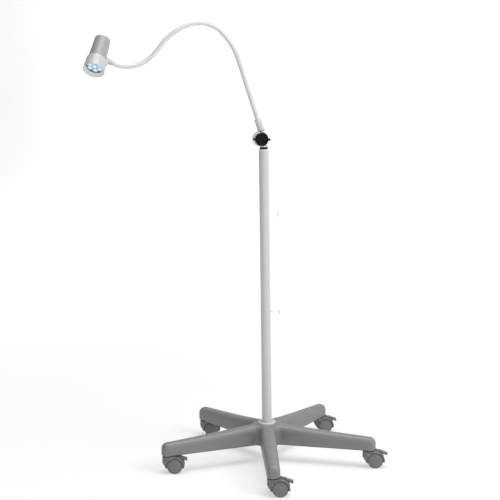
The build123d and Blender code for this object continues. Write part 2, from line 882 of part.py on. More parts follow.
sink_level = board_level + 1.6
with BuildPart() as heat_sink:
    with BuildSketch(head_level(sink_level)):
        Circle(spigot_radius - 0.6)
    extrude(amount=3)
    with BuildSketch(head_level(sink_level + 3)):
        with GridLocations(6.5, 0, 6, 1):
            Rectangle(2, 60)
        Circle(21, mode=Mode.INTERSECT)
        with Locations((12, 0)):
            Rectangle(14, 20, mode=Mode.SUBTRACT)
    extrude(amount=14)
save("heat_sink", heat_sink.part)

driver_level = 6.0
with BuildPart() as driver_board:
    with BuildSketch(head_level(driver_level)):
        Rectangle(2, 34)
    extrude(amount=42)
    with BuildSketch(head_level(driver_level + 6)):
        with Locations((5.5, -6)):
            Rectangle(9, 12)
    extrude(amount=12)
    with BuildSketch(head_level(driver_level + 24)):
        with Locations((5.5, 7)):
            Circle(4.9)
    extrude(amount=14)
save("driver_board", driver_board.part)

print("neck length", round(neck_length, 1), "joint spacing", round(joint_spacing, 1))
print("head centre", head_centre, "beam", beam)
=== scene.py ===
"""Looks of a mobile examination light, laid out as a Blender add-on and run as a script.

Metres, Z up, in the frame of the packed model. Places come from the packed joints and boxes.
"""
import json
import math

import bmesh
import bpy
from mathutils import Matrix, Vector


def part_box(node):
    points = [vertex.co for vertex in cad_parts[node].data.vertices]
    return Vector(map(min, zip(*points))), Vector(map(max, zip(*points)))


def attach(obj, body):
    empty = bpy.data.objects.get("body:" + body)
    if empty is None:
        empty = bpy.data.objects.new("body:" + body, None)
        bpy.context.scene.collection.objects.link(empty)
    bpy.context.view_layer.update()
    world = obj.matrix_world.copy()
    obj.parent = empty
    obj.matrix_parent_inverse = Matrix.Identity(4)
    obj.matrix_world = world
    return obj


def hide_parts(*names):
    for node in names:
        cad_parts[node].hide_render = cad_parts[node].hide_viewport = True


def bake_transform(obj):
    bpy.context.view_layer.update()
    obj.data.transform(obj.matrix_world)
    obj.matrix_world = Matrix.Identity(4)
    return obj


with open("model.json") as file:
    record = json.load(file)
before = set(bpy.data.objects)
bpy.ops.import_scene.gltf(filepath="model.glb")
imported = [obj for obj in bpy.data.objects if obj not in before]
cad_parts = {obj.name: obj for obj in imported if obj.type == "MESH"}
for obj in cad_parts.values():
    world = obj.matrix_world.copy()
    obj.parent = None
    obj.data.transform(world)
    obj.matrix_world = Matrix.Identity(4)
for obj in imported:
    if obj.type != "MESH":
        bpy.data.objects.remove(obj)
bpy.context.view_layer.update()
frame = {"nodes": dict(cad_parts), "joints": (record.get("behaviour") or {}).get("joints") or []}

bl_info = {
    "name": "Examination light",
    "version": (1, 0, 0),
    "blender": (4, 5, 0),
    "location": "View3D > Sidebar > Examination light",
    "description": "Builds the pieces, finishes and stage of a gooseneck examination light",
    "category": "Object",
}

MM = 0.001
JOINTS = {joint["name"]: joint for joint in frame["joints"]}
CASTORS = [name[: -len("_castor_swivel")] for name in JOINTS if name.endswith("_castor_swivel")]
NECK_JOINTS = [joint for joint in frame["joints"] if joint["name"].startswith(("neck_bend", "neck_side"))]


# ---------------------------------------------------------------- outlines
def mm(*lengths):
    """Lengths given in millimetres, in metres."""
    return [length * MM for length in lengths]


def rounded(points, radii, steps=5):
    """A polyline with its corners rounded, with one radius for each point."""
    out = []
    last = len(points) - 1
    for index, point in enumerate(points):
        here = Vector(point)
        radius = radii[index]
        if index in (0, last) or radius <= 0:
            out.append(here)
            continue
        before = Vector(points[index - 1]) - here
        after = Vector(points[index + 1]) - here
        turn = before.angle(after)
        reach = min(radius / math.tan(turn / 2), before.length * 0.49, after.length * 0.49)
        start = here + before.normalized() * reach
        end = here + after.normalized() * reach
        # a quadratic arc through the corner's tangent points
        for step in range(steps + 1):
            share = step / steps
            out.append(start * (1 - share) ** 2 + here * 2 * share * (1 - share) + end * share**2)
    return out


def rounded_loop(points, radii, steps=5):
    """The same for a closed outline."""
    around = [points[-1]] + list(points) + [points[0]]
    sizes = [radii[-1]] + list(radii) + [radii[0]]
    out = rounded(around, sizes, steps)
    return out[1:-1]


def arc(radius, start, end, steps):
    """Points on an arc round the origin; angles are in degrees."""
    points = []
    for step in range(steps + 1):
        angle = math.radians(start + (end - start) * step / steps)
        points.append((radius * math.cos(angle), radius * math.sin(angle)))
    return points


# ---------------------------------------------------------------- meshes
def add_object(name, mesh):
    """A new object in the scene."""
    piece = bpy.data.objects.new(name, mesh)
    bpy.context.scene.collection.objects.link(piece)
    return piece


def mesh_piece(name, vertices, faces, sharp_angle=35.0):
    """An object from vertices and faces, welded, with its normals outward and smooth shading."""
    mesh = bpy.data.meshes.new(name)
    mesh.from_pydata([tuple(v) for v in vertices], [], faces)
    build = bmesh.new()
    build.from_mesh(mesh)
    bmesh.ops.remove_doubles(build, verts=build.verts, dist=2e-6)
    bmesh.ops.recalc_face_normals(build, faces=build.faces)
    build.to_mesh(mesh)
    build.free()
    mesh.shade_smooth()
    mesh.set_sharp_from_angle(angle=math.radians(sharp_angle))
    return add_object(name, mesh)


def grid_faces(rows, columns, closed=False, first=0):
    """Quads over rows of vertices; closed joins each row's end to its start."""
    faces = []
    for row in range(rows - 1):
        this_row = first + row * columns
        next_row = this_row + columns
        for column in range(columns if closed else columns - 1):
            following = (column + 1) % columns
            faces.append((this_row + column, this_row + following, next_row + following, next_row + column))
    return faces


def axis_frame(origin, z_axis, x_hint=(1, 0, 0)):
    """A matrix at origin with its Z along z_axis and its X as near to x_hint as it can be."""
    z_dir = Vector(z_axis).normalized()
    x_dir = Vector(x_hint) - Vector(x_hint).dot(z_dir) * z_dir
    if x_dir.length < 1e-6:
        x_dir = z_dir.orthogonal()
    x_dir.normalize()
    y_dir = z_dir.cross(x_dir)
    matrix = Matrix((x_dir, y_dir, z_dir)).transposed().to_4x4()
    matrix.translation = Vector(origin)
    return matrix


def turned_piece(name, profile, place, steps=96, sharp_angle=35.0):
    """A turned piece: profile points are (radius, height) along the Z of place."""
    vertices = []
    for radius, height in profile:
        for step in range(steps):
            angle = 2 * math.pi * step / steps
            vertices.append(place @ Vector((radius * math.cos(angle), radius * math.sin(angle), height)))
    return mesh_piece(name, vertices, grid_faces(len(profile), steps, closed=True), sharp_angle)


def swept_piece(name, points, radii, steps=32, hint=(0, 0, 1), caps=True):
    """A round bar along points, with one radius or one for each point."""
    if not isinstance(radii, (list, tuple)):
        radii = [radii] * len(points)
    points = [Vector(p) for p in points]
    side = Vector(hint)
    vertices = []
    for index, point in enumerate(points):
        ahead = points[min(index + 1, len(points) - 1)] - points[max(index - 1, 0)]
        ahead.normalize()
        side = (side - side.dot(ahead) * ahead).normalized()
        up = ahead.cross(side)
        for step in range(steps):
            angle = 2 * math.pi * step / steps
            vertices.append(point + (side * math.cos(angle) + up * math.sin(angle)) * radii[index])
    faces = grid_faces(len(points), steps, closed=True)
    if caps:
        faces.append(tuple(range(steps)))
        faces.append(tuple(range(len(vertices) - steps, len(vertices))))
    return mesh_piece(name, vertices, faces)


def plate_piece(name, outline, place, low, high, bevel, segments=3):
    """An outline in the XY of place, extruded between two heights, with its edges bevelled."""
    count = len(outline)
    vertices = [place @ Vector((x, y, low)) for x, y in outline]
    vertices += [place @ Vector((x, y, high)) for x, y in outline]
    faces = [tuple(range(count)), tuple(range(count, 2 * count))]
    for index in range(count):
        following = (index + 1) % count
        faces.append((index, following, count + following, count + index))
    piece = mesh_piece(name, vertices, faces)
    soften(piece, bevel, segments)
    return piece


def soften(piece, width, segments=3):
    """Bevels the sharp edges of a piece."""
    bevel = piece.modifiers.new("Softened edges", "BEVEL")
    bevel.width = width
    bevel.segments = segments
    bevel.limit_method = "ANGLE"
    bevel.angle_limit = math.radians(40)
    bevel.harden_normals = True
    return bevel


def apply_modifiers(piece):
    """Replaces a piece's mesh by its evaluated one."""
    depsgraph = bpy.context.evaluated_depsgraph_get()
    mesh = bpy.data.meshes.new_from_object(piece.evaluated_get(depsgraph))
    piece.modifiers.clear()
    piece.data = mesh
    return piece


def cut_by(piece, cutter, operation, label):
    """Applies a boolean with a cutter, which is removed."""
    cutter.modifiers.clear()
    cut = piece.modifiers.new(label, "BOOLEAN")
    cut.object = cutter
    cut.operation = operation
    cut.solver = "EXACT"
    apply_modifiers(piece)
    bpy.data.objects.remove(cutter)


def join_pieces(name, pieces):
    """One object from several, each with its modifiers applied."""
    build = bmesh.new()
    for piece in pieces:
        apply_modifiers(piece)
        build.from_mesh(piece.data)
        bpy.data.objects.remove(piece)
    mesh = bpy.data.meshes.new(name)
    build.to_mesh(mesh)
    build.free()
    return add_object(name, mesh)


def dress(piece, body, look, slot, *nodes):
    """Gives a piece its finish and the body it moves with, and hides the nodes it stands for."""
    piece.data.materials.clear()
    piece.data.materials.append(finish(look))
    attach(piece, body)
    if nodes:
        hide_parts(*nodes)


def dress_node(node, look):
    """Gives a packed node its finish."""
    piece = frame["nodes"][node]
    piece.data.materials.clear()
    piece.data.materials.append(finish(look))
    piece.data.set_sharp_from_angle(angle=math.radians(30))


# ---------------------------------------------------------------- shader groups
def new_group(name, inputs, output):
    """A shader node group, its input node and its output node; inputs maps each name to its default."""
    group = bpy.data.node_groups.new(name, "ShaderNodeTree")
    for socket_name, value in inputs.items():
        kind = "NodeSocketFloat" if isinstance(value, float) else "NodeSocketColor"
        socket = group.interface.new_socket(socket_name, in_out="INPUT", socket_type=kind)
        socket.default_value = value
    kind = "NodeSocketColor" if output == "Color" else "NodeSocketFloat"
    group.interface.new_socket(output, in_out="OUTPUT", socket_type=kind)
    return group, group.nodes.new("NodeGroupInput"), group.nodes.new("NodeGroupOutput")


def noise_in(tree, scale, detail=3.0, roughness=0.55):
    """A noise texture on the object's own coordinates."""
    coordinates = tree.nodes.new("ShaderNodeTexCoord")
    noise = tree.nodes.new("ShaderNodeTexNoise")
    noise.inputs["Scale"].default_value = scale
    noise.inputs["Detail"].default_value = detail
    noise.inputs["Roughness"].default_value = roughness
    tree.links.new(coordinates.outputs["Object"], noise.inputs["Vector"])
    return noise


def group_noise(group, inside, socket, detail, roughness=0.55):
    """A noise inside a group, at the scale that one of the group's inputs gives."""
    noise = noise_in(group, 1.0, detail, roughness)
    group.links.new(inside.outputs[socket], noise.inputs["Scale"])
    return noise


def map_range(tree, source, low, high, to_low, to_high):
    """Maps a value from one range to another, clamped."""
    node = tree.nodes.new("ShaderNodeMapRange")
    node.inputs["From Min"].default_value = low
    node.inputs["From Max"].default_value = high
    node.inputs["To Min"].default_value = to_low
    node.inputs["To Max"].default_value = to_high
    tree.links.new(source, node.inputs["Value"])
    return node


def math_node(tree, operation, first, second):
    """A math node whose operands are sockets or numbers."""
    node = tree.nodes.new("ShaderNodeMath")
    node.operation = operation
    for socket, operand in zip(node.inputs, (first, second)):
        if isinstance(operand, (int, float)):
            socket.default_value = operand
        else:
            tree.links.new(operand, socket)
    return node.outputs["Value"]


def make_mottle_group():
    """Broad, faint changes of tone, as in any sprayed or moulded surface."""
    group, inside, outside = new_group(
        "Tone mottling", {"Color": (0.5, 0.5, 0.5, 1), "Scale": 12.0, "Amount": 0.06}, "Color"
    )
    noise = group_noise(group, inside, "Scale", 4.0)
    centred = math_node(group, "SUBTRACT", noise.outputs["Fac"], 0.5)
    scaled = math_node(group, "MULTIPLY", centred, inside.outputs["Amount"])
    gain = math_node(group, "ADD", scaled, 1.0)
    tone = group.nodes.new("ShaderNodeVectorMath")
    tone.operation = "SCALE"
    group.links.new(inside.outputs["Color"], tone.inputs[0])
    group.links.new(gain, tone.inputs["Scale"])
    group.links.new(tone.outputs["Vector"], outside.inputs["Color"])
    return group


def make_wear_group():
    """Where edges are rubbed: a mask that is 1 on proud edges, broken up by noise."""
    group, inside, outside = new_group(
        "Edge rub", {"Scale": 180.0, "Amount": 0.5}, "Mask"
    )
    geometry = group.nodes.new("ShaderNodeNewGeometry")
    edge = map_range(group, geometry.outputs["Pointiness"], 0.53, 0.62, 0.0, 1.0)
    noise = group_noise(group, inside, "Scale", 5.0)
    broken = map_range(group, noise.outputs["Fac"], 0.4, 0.62, 0.0, 1.0)
    mask = math_node(group, "MULTIPLY", edge.outputs["Result"], broken.outputs["Result"])
    scaled = math_node(group, "MULTIPLY", mask, inside.outputs["Amount"])
    group.links.new(scaled, outside.inputs["Mask"])
    return group


def make_dust_group():
    """Fine dust that settles on faces that look up: a mask."""
    group, inside, outside = new_group(
        "Settled dust", {"Amount": 0.3, "Scale": 60.0}, "Mask"
    )
    geometry = group.nodes.new("ShaderNodeNewGeometry")
    split = group.nodes.new("ShaderNodeSeparateXYZ")
    group.links.new(geometry.outputs["Normal"], split.inputs["Vector"])
    upward = map_range(group, split.outputs["Z"], 0.55, 1.0, 0.0, 1.0)
    noise = group_noise(group, inside, "Scale", 6.0, 0.65)
    patchy = map_range(group, noise.outputs["Fac"], 0.35, 0.75, 0.2, 1.0)
    mask = math_node(group, "MULTIPLY", upward.outputs["Result"], patchy.outputs["Result"])
    scaled = math_node(group, "MULTIPLY", mask, inside.outputs["Amount"])
    group.links.new(scaled, outside.inputs["Mask"])
    return group


def make_smudge_group():
    """Roughness that changes a little where hands and cloths have been."""
    group, inside, outside = new_group(
        "Handling smudges", {"Roughness": 0.4, "Spread": 0.08, "Scale": 25.0}, "Roughness"
    )
    noise = group_noise(group, inside, "Scale", 5.0, 0.6)
    noise.inputs["Distortion"].default_value = 0.6
    centred = math_node(group, "SUBTRACT", noise.outputs["Fac"], 0.5)
    scaled = math_node(group, "MULTIPLY", centred, inside.outputs["Spread"])
    total = math_node(group, "ADD", scaled, inside.outputs["Roughness"])
    group.links.new(total, outside.inputs["Roughness"])
    return group


def make_grain_group():
    """Height of a fine surface grain: moulded pimples with a slow waviness under them."""
    group, inside, outside = new_group(
        "Surface grain", {"Grain scale": 1500.0, "Wave scale": 90.0, "Grain share": 0.7}, "Height"
    )
    grain = group_noise(group, inside, "Grain scale", 2.0)
    wave = group_noise(group, inside, "Wave scale", 2.0)
    fine = math_node(group, "MULTIPLY", grain.outputs["Fac"], inside.outputs["Grain share"])
    rest = math_node(group, "SUBTRACT", 1.0, inside.outputs["Grain share"])
    slow = math_node(group, "MULTIPLY", wave.outputs["Fac"], rest)
    height = math_node(group, "ADD", fine, slow)
    group.links.new(height, outside.inputs["Height"])
    return group


def shader_groups():
    """All shared effects, built once."""
    return {
        "mottle": make_mottle_group(),
        "wear": make_wear_group(),
        "dust": make_dust_group(),
        "smudge": make_smudge_group(),
        "grain": make_grain_group(),
    }


# ---------------------------------------------------------------- materials
def place_group(tree, group, **values):
    """A group node in a material with its own values; underscores in the names stand for spaces."""
    node = tree.nodes.new("ShaderNodeGroup")
    node.node_tree = group
    for name, value in values.items():
        node.inputs[name.replace("_", " ")].default_value = value
    return node


def mix_colours(tree, mask, first, second):
    """Mixes two colours, given as sockets or values, by a mask."""
    node = tree.nodes.new("ShaderNodeMix")
    node.data_type = "RGBA"
    tree.links.new(mask, node.inputs["Factor"])
    for socket, value in ((node.inputs["A"], first), (node.inputs["B"], second)):
        if hasattr(value, "links"):
            tree.links.new(value, socket)
        else:
            socket.default_value = value
    return node.outputs["Result"]


def surface_finish(
    groups, name, colour, roughness, metallic=0.0, spread=0.08, mottle=0.06, mottle_scale=12.0,
    grain_scale=1500.0, wave_scale=90.0, grain_share=0.7, grain_depth=0.02,
    wear=0.0, wear_colour=(0.75, 0.75, 0.76, 1.0), dust=0.0, dust_colour=(0.62, 0.61, 0.59, 1.0),
    coat=0.0, specular=0.5, glow=0.0,
):
    """A procedural finish: mottled colour with rubbed edges and dust, smudged roughness and a fine grain."""
    material = bpy.data.materials.new(name)
    material.use_nodes = True
    tree = material.node_tree
    shader = tree.nodes["Principled BSDF"]
    shader.inputs["Metallic"].default_value = metallic
    shader.inputs["IOR"].default_value = 1.5
    shader.inputs["Specular IOR Level"].default_value = specular
    shader.inputs["Coat Weight"].default_value = coat
    shader.inputs["Coat Roughness"].default_value = 0.2
    mottling = place_group(tree, groups["mottle"], Color=colour, Scale=mottle_scale, Amount=mottle)
    result = mottling.outputs["Color"]
    if wear:
        rub = place_group(tree, groups["wear"], Amount=wear)
        result = mix_colours(tree, rub.outputs["Mask"], result, wear_colour)
    if dust:
        settled = place_group(tree, groups["dust"], Amount=dust)
        result = mix_colours(tree, settled.outputs["Mask"], result, dust_colour)
    tree.links.new(result, shader.inputs["Base Color"])
    if glow:
        tree.links.new(result, shader.inputs["Emission Color"])
        shader.inputs["Emission Strength"].default_value = glow
    smudges = place_group(tree, groups["smudge"], Roughness=roughness, Spread=spread)
    rough = smudges.outputs["Roughness"]
    if dust:
        rough = math_node(tree, "ADD", rough, math_node(tree, "MULTIPLY", settled.outputs["Mask"], 0.3))
    tree.links.new(rough, shader.inputs["Roughness"])
    grain = place_group(
        tree, groups["grain"], Grain_scale=grain_scale, Wave_scale=wave_scale, Grain_share=grain_share
    )
    bump = tree.nodes.new("ShaderNodeBump")
    bump.inputs["Strength"].default_value = 0.35
    bump.inputs["Distance"].default_value = grain_depth * MM
    tree.links.new(grain.outputs["Height"], bump.inputs["Height"])
    tree.links.new(bump.outputs["Normal"], shader.inputs["Normal"])
    return material


def clear_finish(name, colour):
    """Clear glass or acrylic; its numbers stay plain."""
    material = bpy.data.materials.new(name)
    material.use_nodes = True
    shader = material.node_tree.nodes["Principled BSDF"]
    shader.inputs["Base Color"].default_value = colour
    shader.inputs["Roughness"].default_value = 0.04
    shader.inputs["IOR"].default_value = 1.49
    shader.inputs["Metallic"].default_value = 0.0
    shader.inputs["Transmission Weight"].default_value = 1.0
    return material


def glowing_finish(groups, name, rim_colour, heart_colour, strength):
    """A lens moulding lit from behind: facets catch more or less of the light."""
    scale = 520.0
    material = surface_finish(
        groups, name, rim_colour, 0.12, spread=0.05, mottle=0.25, mottle_scale=scale, coat=0.6
    )
    tree = material.node_tree
    shader = tree.nodes["Principled BSDF"]
    noise = noise_in(tree, scale, 2.0)
    facets = map_range(tree, noise.outputs["Fac"], 0.4, 0.6, 0.0, 1.0)
    glow = mix_colours(tree, facets.outputs["Result"], rim_colour, heart_colour)
    tree.links.new(glow, shader.inputs["Emission Color"])
    shader.inputs["Emission Strength"].default_value = strength
    return material


def finish_table(finishes):
    """Each plain finish: its name, colour, roughness and what sets it apart."""
    return {
        "base": (
            "Base paint", finishes.base_colour, 0.46,
            dict(spread=0.12, mottle=0.1, mottle_scale=9.0, grain_scale=1100.0, wave_scale=60.0,
                 grain_share=0.75, grain_depth=0.05, wear=0.25, wear_colour=(0.46, 0.46, 0.47, 1.0),
                 dust=0.16),
        ),
        "castor": (
            "Castor plastic", finishes.castor_colour, 0.5,
            dict(mottle=0.1, mottle_scale=30.0, grain_scale=1900.0, grain_depth=0.04, wear=0.3,
                 wear_colour=(0.5, 0.5, 0.5, 1.0), dust=0.2),
        ),
        "wheel": (
            "Wheel plastic", finishes.wheel_colour, 0.58,
            dict(mottle=0.14, mottle_scale=45.0, grain_scale=1700.0, grain_depth=0.05, wear=0.2,
                 dust=0.12),
        ),
        # painted shade: a near-black finish for the sheets in the wheel wells, standing for the shadow in the
        # gap over the wheels
        "painted_well_shade": (
            "Painted shade of the wheel wells", (0.008, 0.008, 0.009, 1.0), 0.7,
            dict(mottle=0.2, mottle_scale=70.0, grain_scale=1300.0, grain_depth=0.06, specular=0.05),
        ),
        "column": (
            "Column paint", finishes.column_colour, 0.3,
            dict(spread=0.1, mottle=0.05, mottle_scale=6.0, grain_scale=900.0, wave_scale=45.0,
                 grain_share=0.35, grain_depth=0.03, coat=0.25),
        ),
        "knuckle": (
            "Knuckle paint", finishes.knuckle_colour, 0.34,
            dict(mottle=0.05, mottle_scale=40.0, grain_scale=1400.0, grain_share=0.5, grain_depth=0.025,
                 wear=0.2, coat=0.2),
        ),
        "neck": (
            "Neck sheath", finishes.neck_colour, 0.36,
            dict(spread=0.12, mottle=0.05, mottle_scale=14.0, grain_scale=1200.0, wave_scale=260.0,
                 grain_share=0.4, grain_depth=0.03, coat=0.15),
        ),
        "housing": (
            "Lamp housing plastic", finishes.housing_colour, 0.4,
            dict(spread=0.08, mottle=0.03, mottle_scale=25.0, grain_scale=1800.0, grain_share=0.5,
                 grain_depth=0.015, coat=0.08),
        ),
        "body": (
            "Lamp body paint", finishes.body_colour, 0.42,
            dict(spread=0.1, mottle=0.06, mottle_scale=30.0, grain_scale=1600.0, grain_depth=0.04,
                 wear=0.15),
        ),
        "black": (
            "Black plastic", (0.006, 0.006, 0.007, 1.0), 0.34,
            dict(spread=0.14, mottle=0.3, mottle_scale=60.0, grain_scale=2100.0, grain_depth=0.04,
                 wear=0.35, wear_colour=(0.05, 0.05, 0.055, 1.0), dust=0.03, specular=0.08),
        ),
        "steel": (
            "Plated steel", (0.56, 0.56, 0.57, 1.0), 0.3,
            dict(metallic=1.0, spread=0.2, mottle=0.15, mottle_scale=90.0, grain_scale=900.0,
                 grain_depth=0.02),
        ),
        "hook": (
            "Hook wire", (0.6, 0.6, 0.6, 1.0), 0.3,
            dict(metallic=0.35, spread=0.15, mottle=0.12, mottle_scale=120.0, grain_scale=1200.0,
                 grain_depth=0.02, coat=0.3),
        ),
        "holder": (
            "Optic holder", finishes.holder_colour, 0.22,
            dict(mottle=0.25, mottle_scale=160.0, grain_scale=1500.0, grain_depth=0.02, coat=0.5),
        ),
        "board": (
            "Board laminate", (0.72, 0.73, 0.72, 1.0), 0.4,
            dict(mottle=0.08, mottle_scale=120.0),
        ),
        "sink": (
            "Sink aluminium", (0.6, 0.6, 0.62, 1.0), 0.35,
            dict(metallic=1.0, mottle=0.1, mottle_scale=140.0),
        ),
        # near-black plastic of the sockets and washers inside; on the washer under the ferrule it is painted
        # shade for the gap there
        "dark_socket_and_gap_shade": (
            "Socket plastic and painted gap shade", (0.05, 0.05, 0.052, 1.0), 0.55,
            dict(mottle=0.15, mottle_scale=60.0),
        ),
        # painted light: the housing's colour with a glow, standing for the lamps' light on the cup's cone
        "painted_cone_light": (
            "Cone with painted lamp light", finishes.housing_colour, 0.3,
            dict(mottle=0.03, mottle_scale=25.0, grain_scale=1800.0, grain_depth=0.015,
                 glow=finishes.cone_glow),
        ),
    }


def build_materials(finishes):
    """Every finish of the light, by a name of its own."""
    groups = shader_groups()
    materials = {
        key: surface_finish(groups, name, tuple(colour), roughness, **details)
        for key, (name, colour, roughness, details) in finish_table(finishes).items()
    }
    materials["cover"] = clear_finish("Cover glass", (0.97, 0.985, 1.0, 1.0))
    materials["optic"] = glowing_finish(
        groups, "Optic moulding", (0.25, 0.5, 0.72, 1.0), (0.72, 0.88, 1.0, 1.0), finishes.optic_glow
    )
    materials["heart"] = glowing_finish(
        groups, "Optic heart", (0.6, 0.82, 1.0, 1.0), (1.0, 1.0, 1.0, 1.0), finishes.heart_glow
    )
    return materials


# ---------------------------------------------------------------- shape of the star base
LEG_COUNT = 5
HALF_SECTOR = math.pi / LEG_COUNT


def smooth_max(first, second, softness):
    """The larger of two values with the corner between them eased."""
    return 0.5 * (first + second + math.sqrt((first - second) ** 2 + softness**2))


def base_height(radius, base):
    """Height of the base's top at a distance from the column, before its edges are rounded."""
    hub, tip = base.hub_top, base.tip_top
    hub_reach, root_reach, root_top = mm(36, 92, 117)
    inner = hub + (radius - hub_reach) * (root_top - hub) / (root_reach - hub_reach)
    outer = root_top + (radius - root_reach) * (tip - root_top) / (base.leg_reach + 5 * MM - root_reach)
    slope = smooth_max(inner, outer, 9 * MM)
    return -smooth_max(-hub, -slope, 4 * MM)


def leg_half_width(along, base):
    """Half the width of a leg at a distance from the column, with the web's arc and the tip's corners."""
    root, tip = base.leg_half_root, base.leg_half_tip
    straight = root + (tip - root) * along / base.leg_reach
    web_centre = (root + base.web_radius) / math.sin(HALF_SECTOR)
    web_along = web_centre * math.cos(HALF_SECTOR)
    if along < web_along:
        web_across = root + base.web_radius
        straight = web_across - math.sqrt(max(base.web_radius**2 - (along - web_along) ** 2, 0.0))
    corner_start = base.leg_reach - base.tip_corner
    if along > corner_start:
        rest = math.sqrt(max(base.tip_corner**2 - (along - corner_start) ** 2, 0.0))
        straight = straight - base.tip_corner + rest
    return straight


def leg_direction(leg, base):
    """The direction of a leg from the column, as an angle from X."""
    return math.radians(base.first_leg) + 2 * HALF_SECTOR * leg


def edge_drop(inset, radius):
    """How far a rounded edge falls at a distance in from the side."""
    if inset >= radius:
        return 0.0
    return radius - math.sqrt(max(radius**2 - (radius - inset) ** 2, 0.0))


def leg_inset(point, base):
    """Distance in from the outline of the base, for a point in a leg's own sector."""
    web_centre = (base.leg_half_root + base.web_radius) / math.sin(HALF_SECTOR)
    centre = Vector((web_centre * math.cos(HALF_SECTOR), web_centre * math.sin(HALF_SECTOR)))
    across = abs(point.y)
    if point.x < centre.x:
        return (Vector((point.x, across)) - centre).length - base.web_radius
    if point.x <= base.leg_reach - base.tip_corner:
        return leg_half_width(point.x, base) - across
    corner = (base.leg_reach - base.tip_corner, base.leg_half_tip - base.tip_corner)
    over = Vector((point.x - corner[0], max(across - corner[1], 0.0)))
    return base.tip_corner - over.length


def star_skin(base):
    """The base's top and walls as one skin, five leg sectors round the column."""
    root_reach = (base.leg_half_root + base.web_radius) / math.sin(HALF_SECTOR) - base.web_radius
    hub_rows = 14
    inner = 16.2 * MM
    shares = [math.sin(math.radians(90 * (index / 15 * 2 - 1))) for index in range(16)]
    columns = len(shares)
    rows = []
    for row in range(hub_rows):
        radius = inner + (root_reach - inner) * row / hub_rows
        blend = (row / hub_rows) ** 1.5
        points = []
        for share in shares:
            angle = HALF_SECTOR * share
            ring = Vector((radius * math.cos(angle), radius * math.sin(angle)))
            edge = Vector((radius * math.cos(HALF_SECTOR), radius * math.sin(HALF_SECTOR) * share))
            points.append(ring.lerp(edge, blend))
        rows.append(points)
    start = root_reach * math.cos(HALF_SECTOR)
    stations = [start + step * MM for step in (0, 1, 2.5, 5, 8, 12, 16, 21)]
    straight_start = start + 26 * MM
    straight_end = base.leg_reach - base.tip_corner
    stations += [straight_start + (straight_end - straight_start) * index / 22 for index in range(23)]
    stations += [
        straight_end + base.tip_corner * math.sin(math.radians(90 * index / 9)) for index in range(1, 10)
    ]
    for along in stations:
        half = leg_half_width(along, base)
        rows.append([Vector((along, half * share)) for share in shares])
    vertices = []
    faces = []
    for leg in range(LEG_COUNT):
        turn = leg_direction(leg, base)
        first = len(vertices)
        for points in rows:
            for point in points:
                inset = max(leg_inset(point, base), 0.0)
                height = base_height(point.length, base) - edge_drop(inset, base.edge_round)
                x = point.x * math.cos(turn) - point.y * math.sin(turn)
                y = point.x * math.sin(turn) + point.y * math.cos(turn)
                vertices.append((x, y, height))
        faces += grid_faces(len(rows), columns, first=first)
        # walls below both long sides and the tip
        rim = [first + (hub_rows + index) * columns for index in range(len(stations))]
        rim += [first + (len(rows) - 1) * columns + column for column in range(1, columns)]
        far_side = first + (hub_rows + 1) * columns - 1
        rim += [far_side + index * columns for index in reversed(range(len(stations) - 1))]
        below = []
        levels = 4
        for level in range(1, levels + 1):
            for index in rim:
                x, y, z = vertices[index]
                below.append((x, y, z + (base.bottom - z) * level / levels))
        second = len(vertices)
        vertices += below
        count = len(rim)
        for index in range(count - 1):
            faces.append((rim[index], rim[index + 1], second + index + 1, second + index))
        faces += grid_faces(levels, count, first=second)
    return vertices, faces


# ---------------------------------------------------------------- line of the neck
ARM_AXIS = Vector(JOINTS["neck_tilt"]["axis"]).normalized()
PIVOT = Vector(JOINTS["neck_tilt"]["pos_m"])
LIGHT_SIDE = ARM_AXIS.cross(Vector((0, 0, 1))).normalized()


def on_arm(reach, height):
    """A point in the arm's plane, from its reach out from the column and its height."""
    return LIGHT_SIDE * reach + Vector((0, 0, height))


def leaning(lean):
    """A direction in the arm's plane that leans this many degrees from upright."""
    return LIGHT_SIDE * math.sin(math.radians(lean)) + Vector((0, 0, math.cos(math.radians(lean))))


def neck_state(distance, neck):
    """Reach, height and lean of the neck at a distance along it from the ferrule's mouth."""
    lean = neck.lean
    offset = neck.knuckle_offset
    turn = math.radians(lean)
    reach = offset - offset * math.cos(turn) + neck.ferrule_end * math.sin(turn)
    height = PIVOT.z + offset * math.sin(turn) + neck.ferrule_end * math.cos(turn)
    for index, (run, end_lean) in enumerate(NECK_RUNS):
        length = run * MM
        step = distance if distance < length or index == len(NECK_RUNS) - 1 else length
        bent = max(min(step, length), 0.0)
        turned = (end_lean - lean) * bent / length
        chord = bent
        if abs(turned) > 1e-6:
            chord = bent * math.sin(math.radians(turned / 2)) / math.radians(turned / 2)
        middle = math.radians(lean + turned / 2)
        reach += chord * math.sin(middle)
        height += chord * math.cos(middle)
        lean += turned
        straight = step - bent
        reach += straight * math.sin(math.radians(lean))
        height += straight * math.cos(math.radians(lean))
        distance -= step
        if distance <= 0:
            break
    return reach, height, lean


# each run of the neck is a length in millimetres and the lean from upright at its end, in degrees
NECK_RUNS = (
    (197.0, 18.0), (105.0, 46.0), (110.0, 106.0), (111.0, 139.0), (36.0, 139.0), (150.0, 63.0),
    (14.5, 63.0),
)
NECK_LENGTH = sum(run for run, end_lean in NECK_RUNS) * MM


def neck_point(distance, neck):
    """The point of the neck's line at a distance along it."""
    return on_arm(*neck_state(distance, neck)[:2])


def head_frame(neck, head):
    """The lamp head's own frame: Z to the rear along its axis, X towards the neck's entry."""
    reach, height, lean = neck_state(NECK_LENGTH, neck)
    direction = leaning(lean)
    twist = math.radians(head.twist)
    beam = leaning(lean + 90) * math.cos(twist) + ARM_AXIS * math.sin(twist)
    centre = on_arm(reach, height) + direction * head.entry_reach
    return axis_frame(centre, beam * -1, direction * -1)


# ---------------------------------------------------------------- settings
def size(name, description, default):
    """A length property whose default is given in millimetres."""
    return bpy.props.FloatProperty(
        name=name, description=description, default=default * MM, unit="LENGTH", precision=5
    )


def plain_number(name, description, default):
    """A number without a unit: an angle in degrees, a strength or a focal length."""
    return bpy.props.FloatProperty(name=name, description=description, default=default)


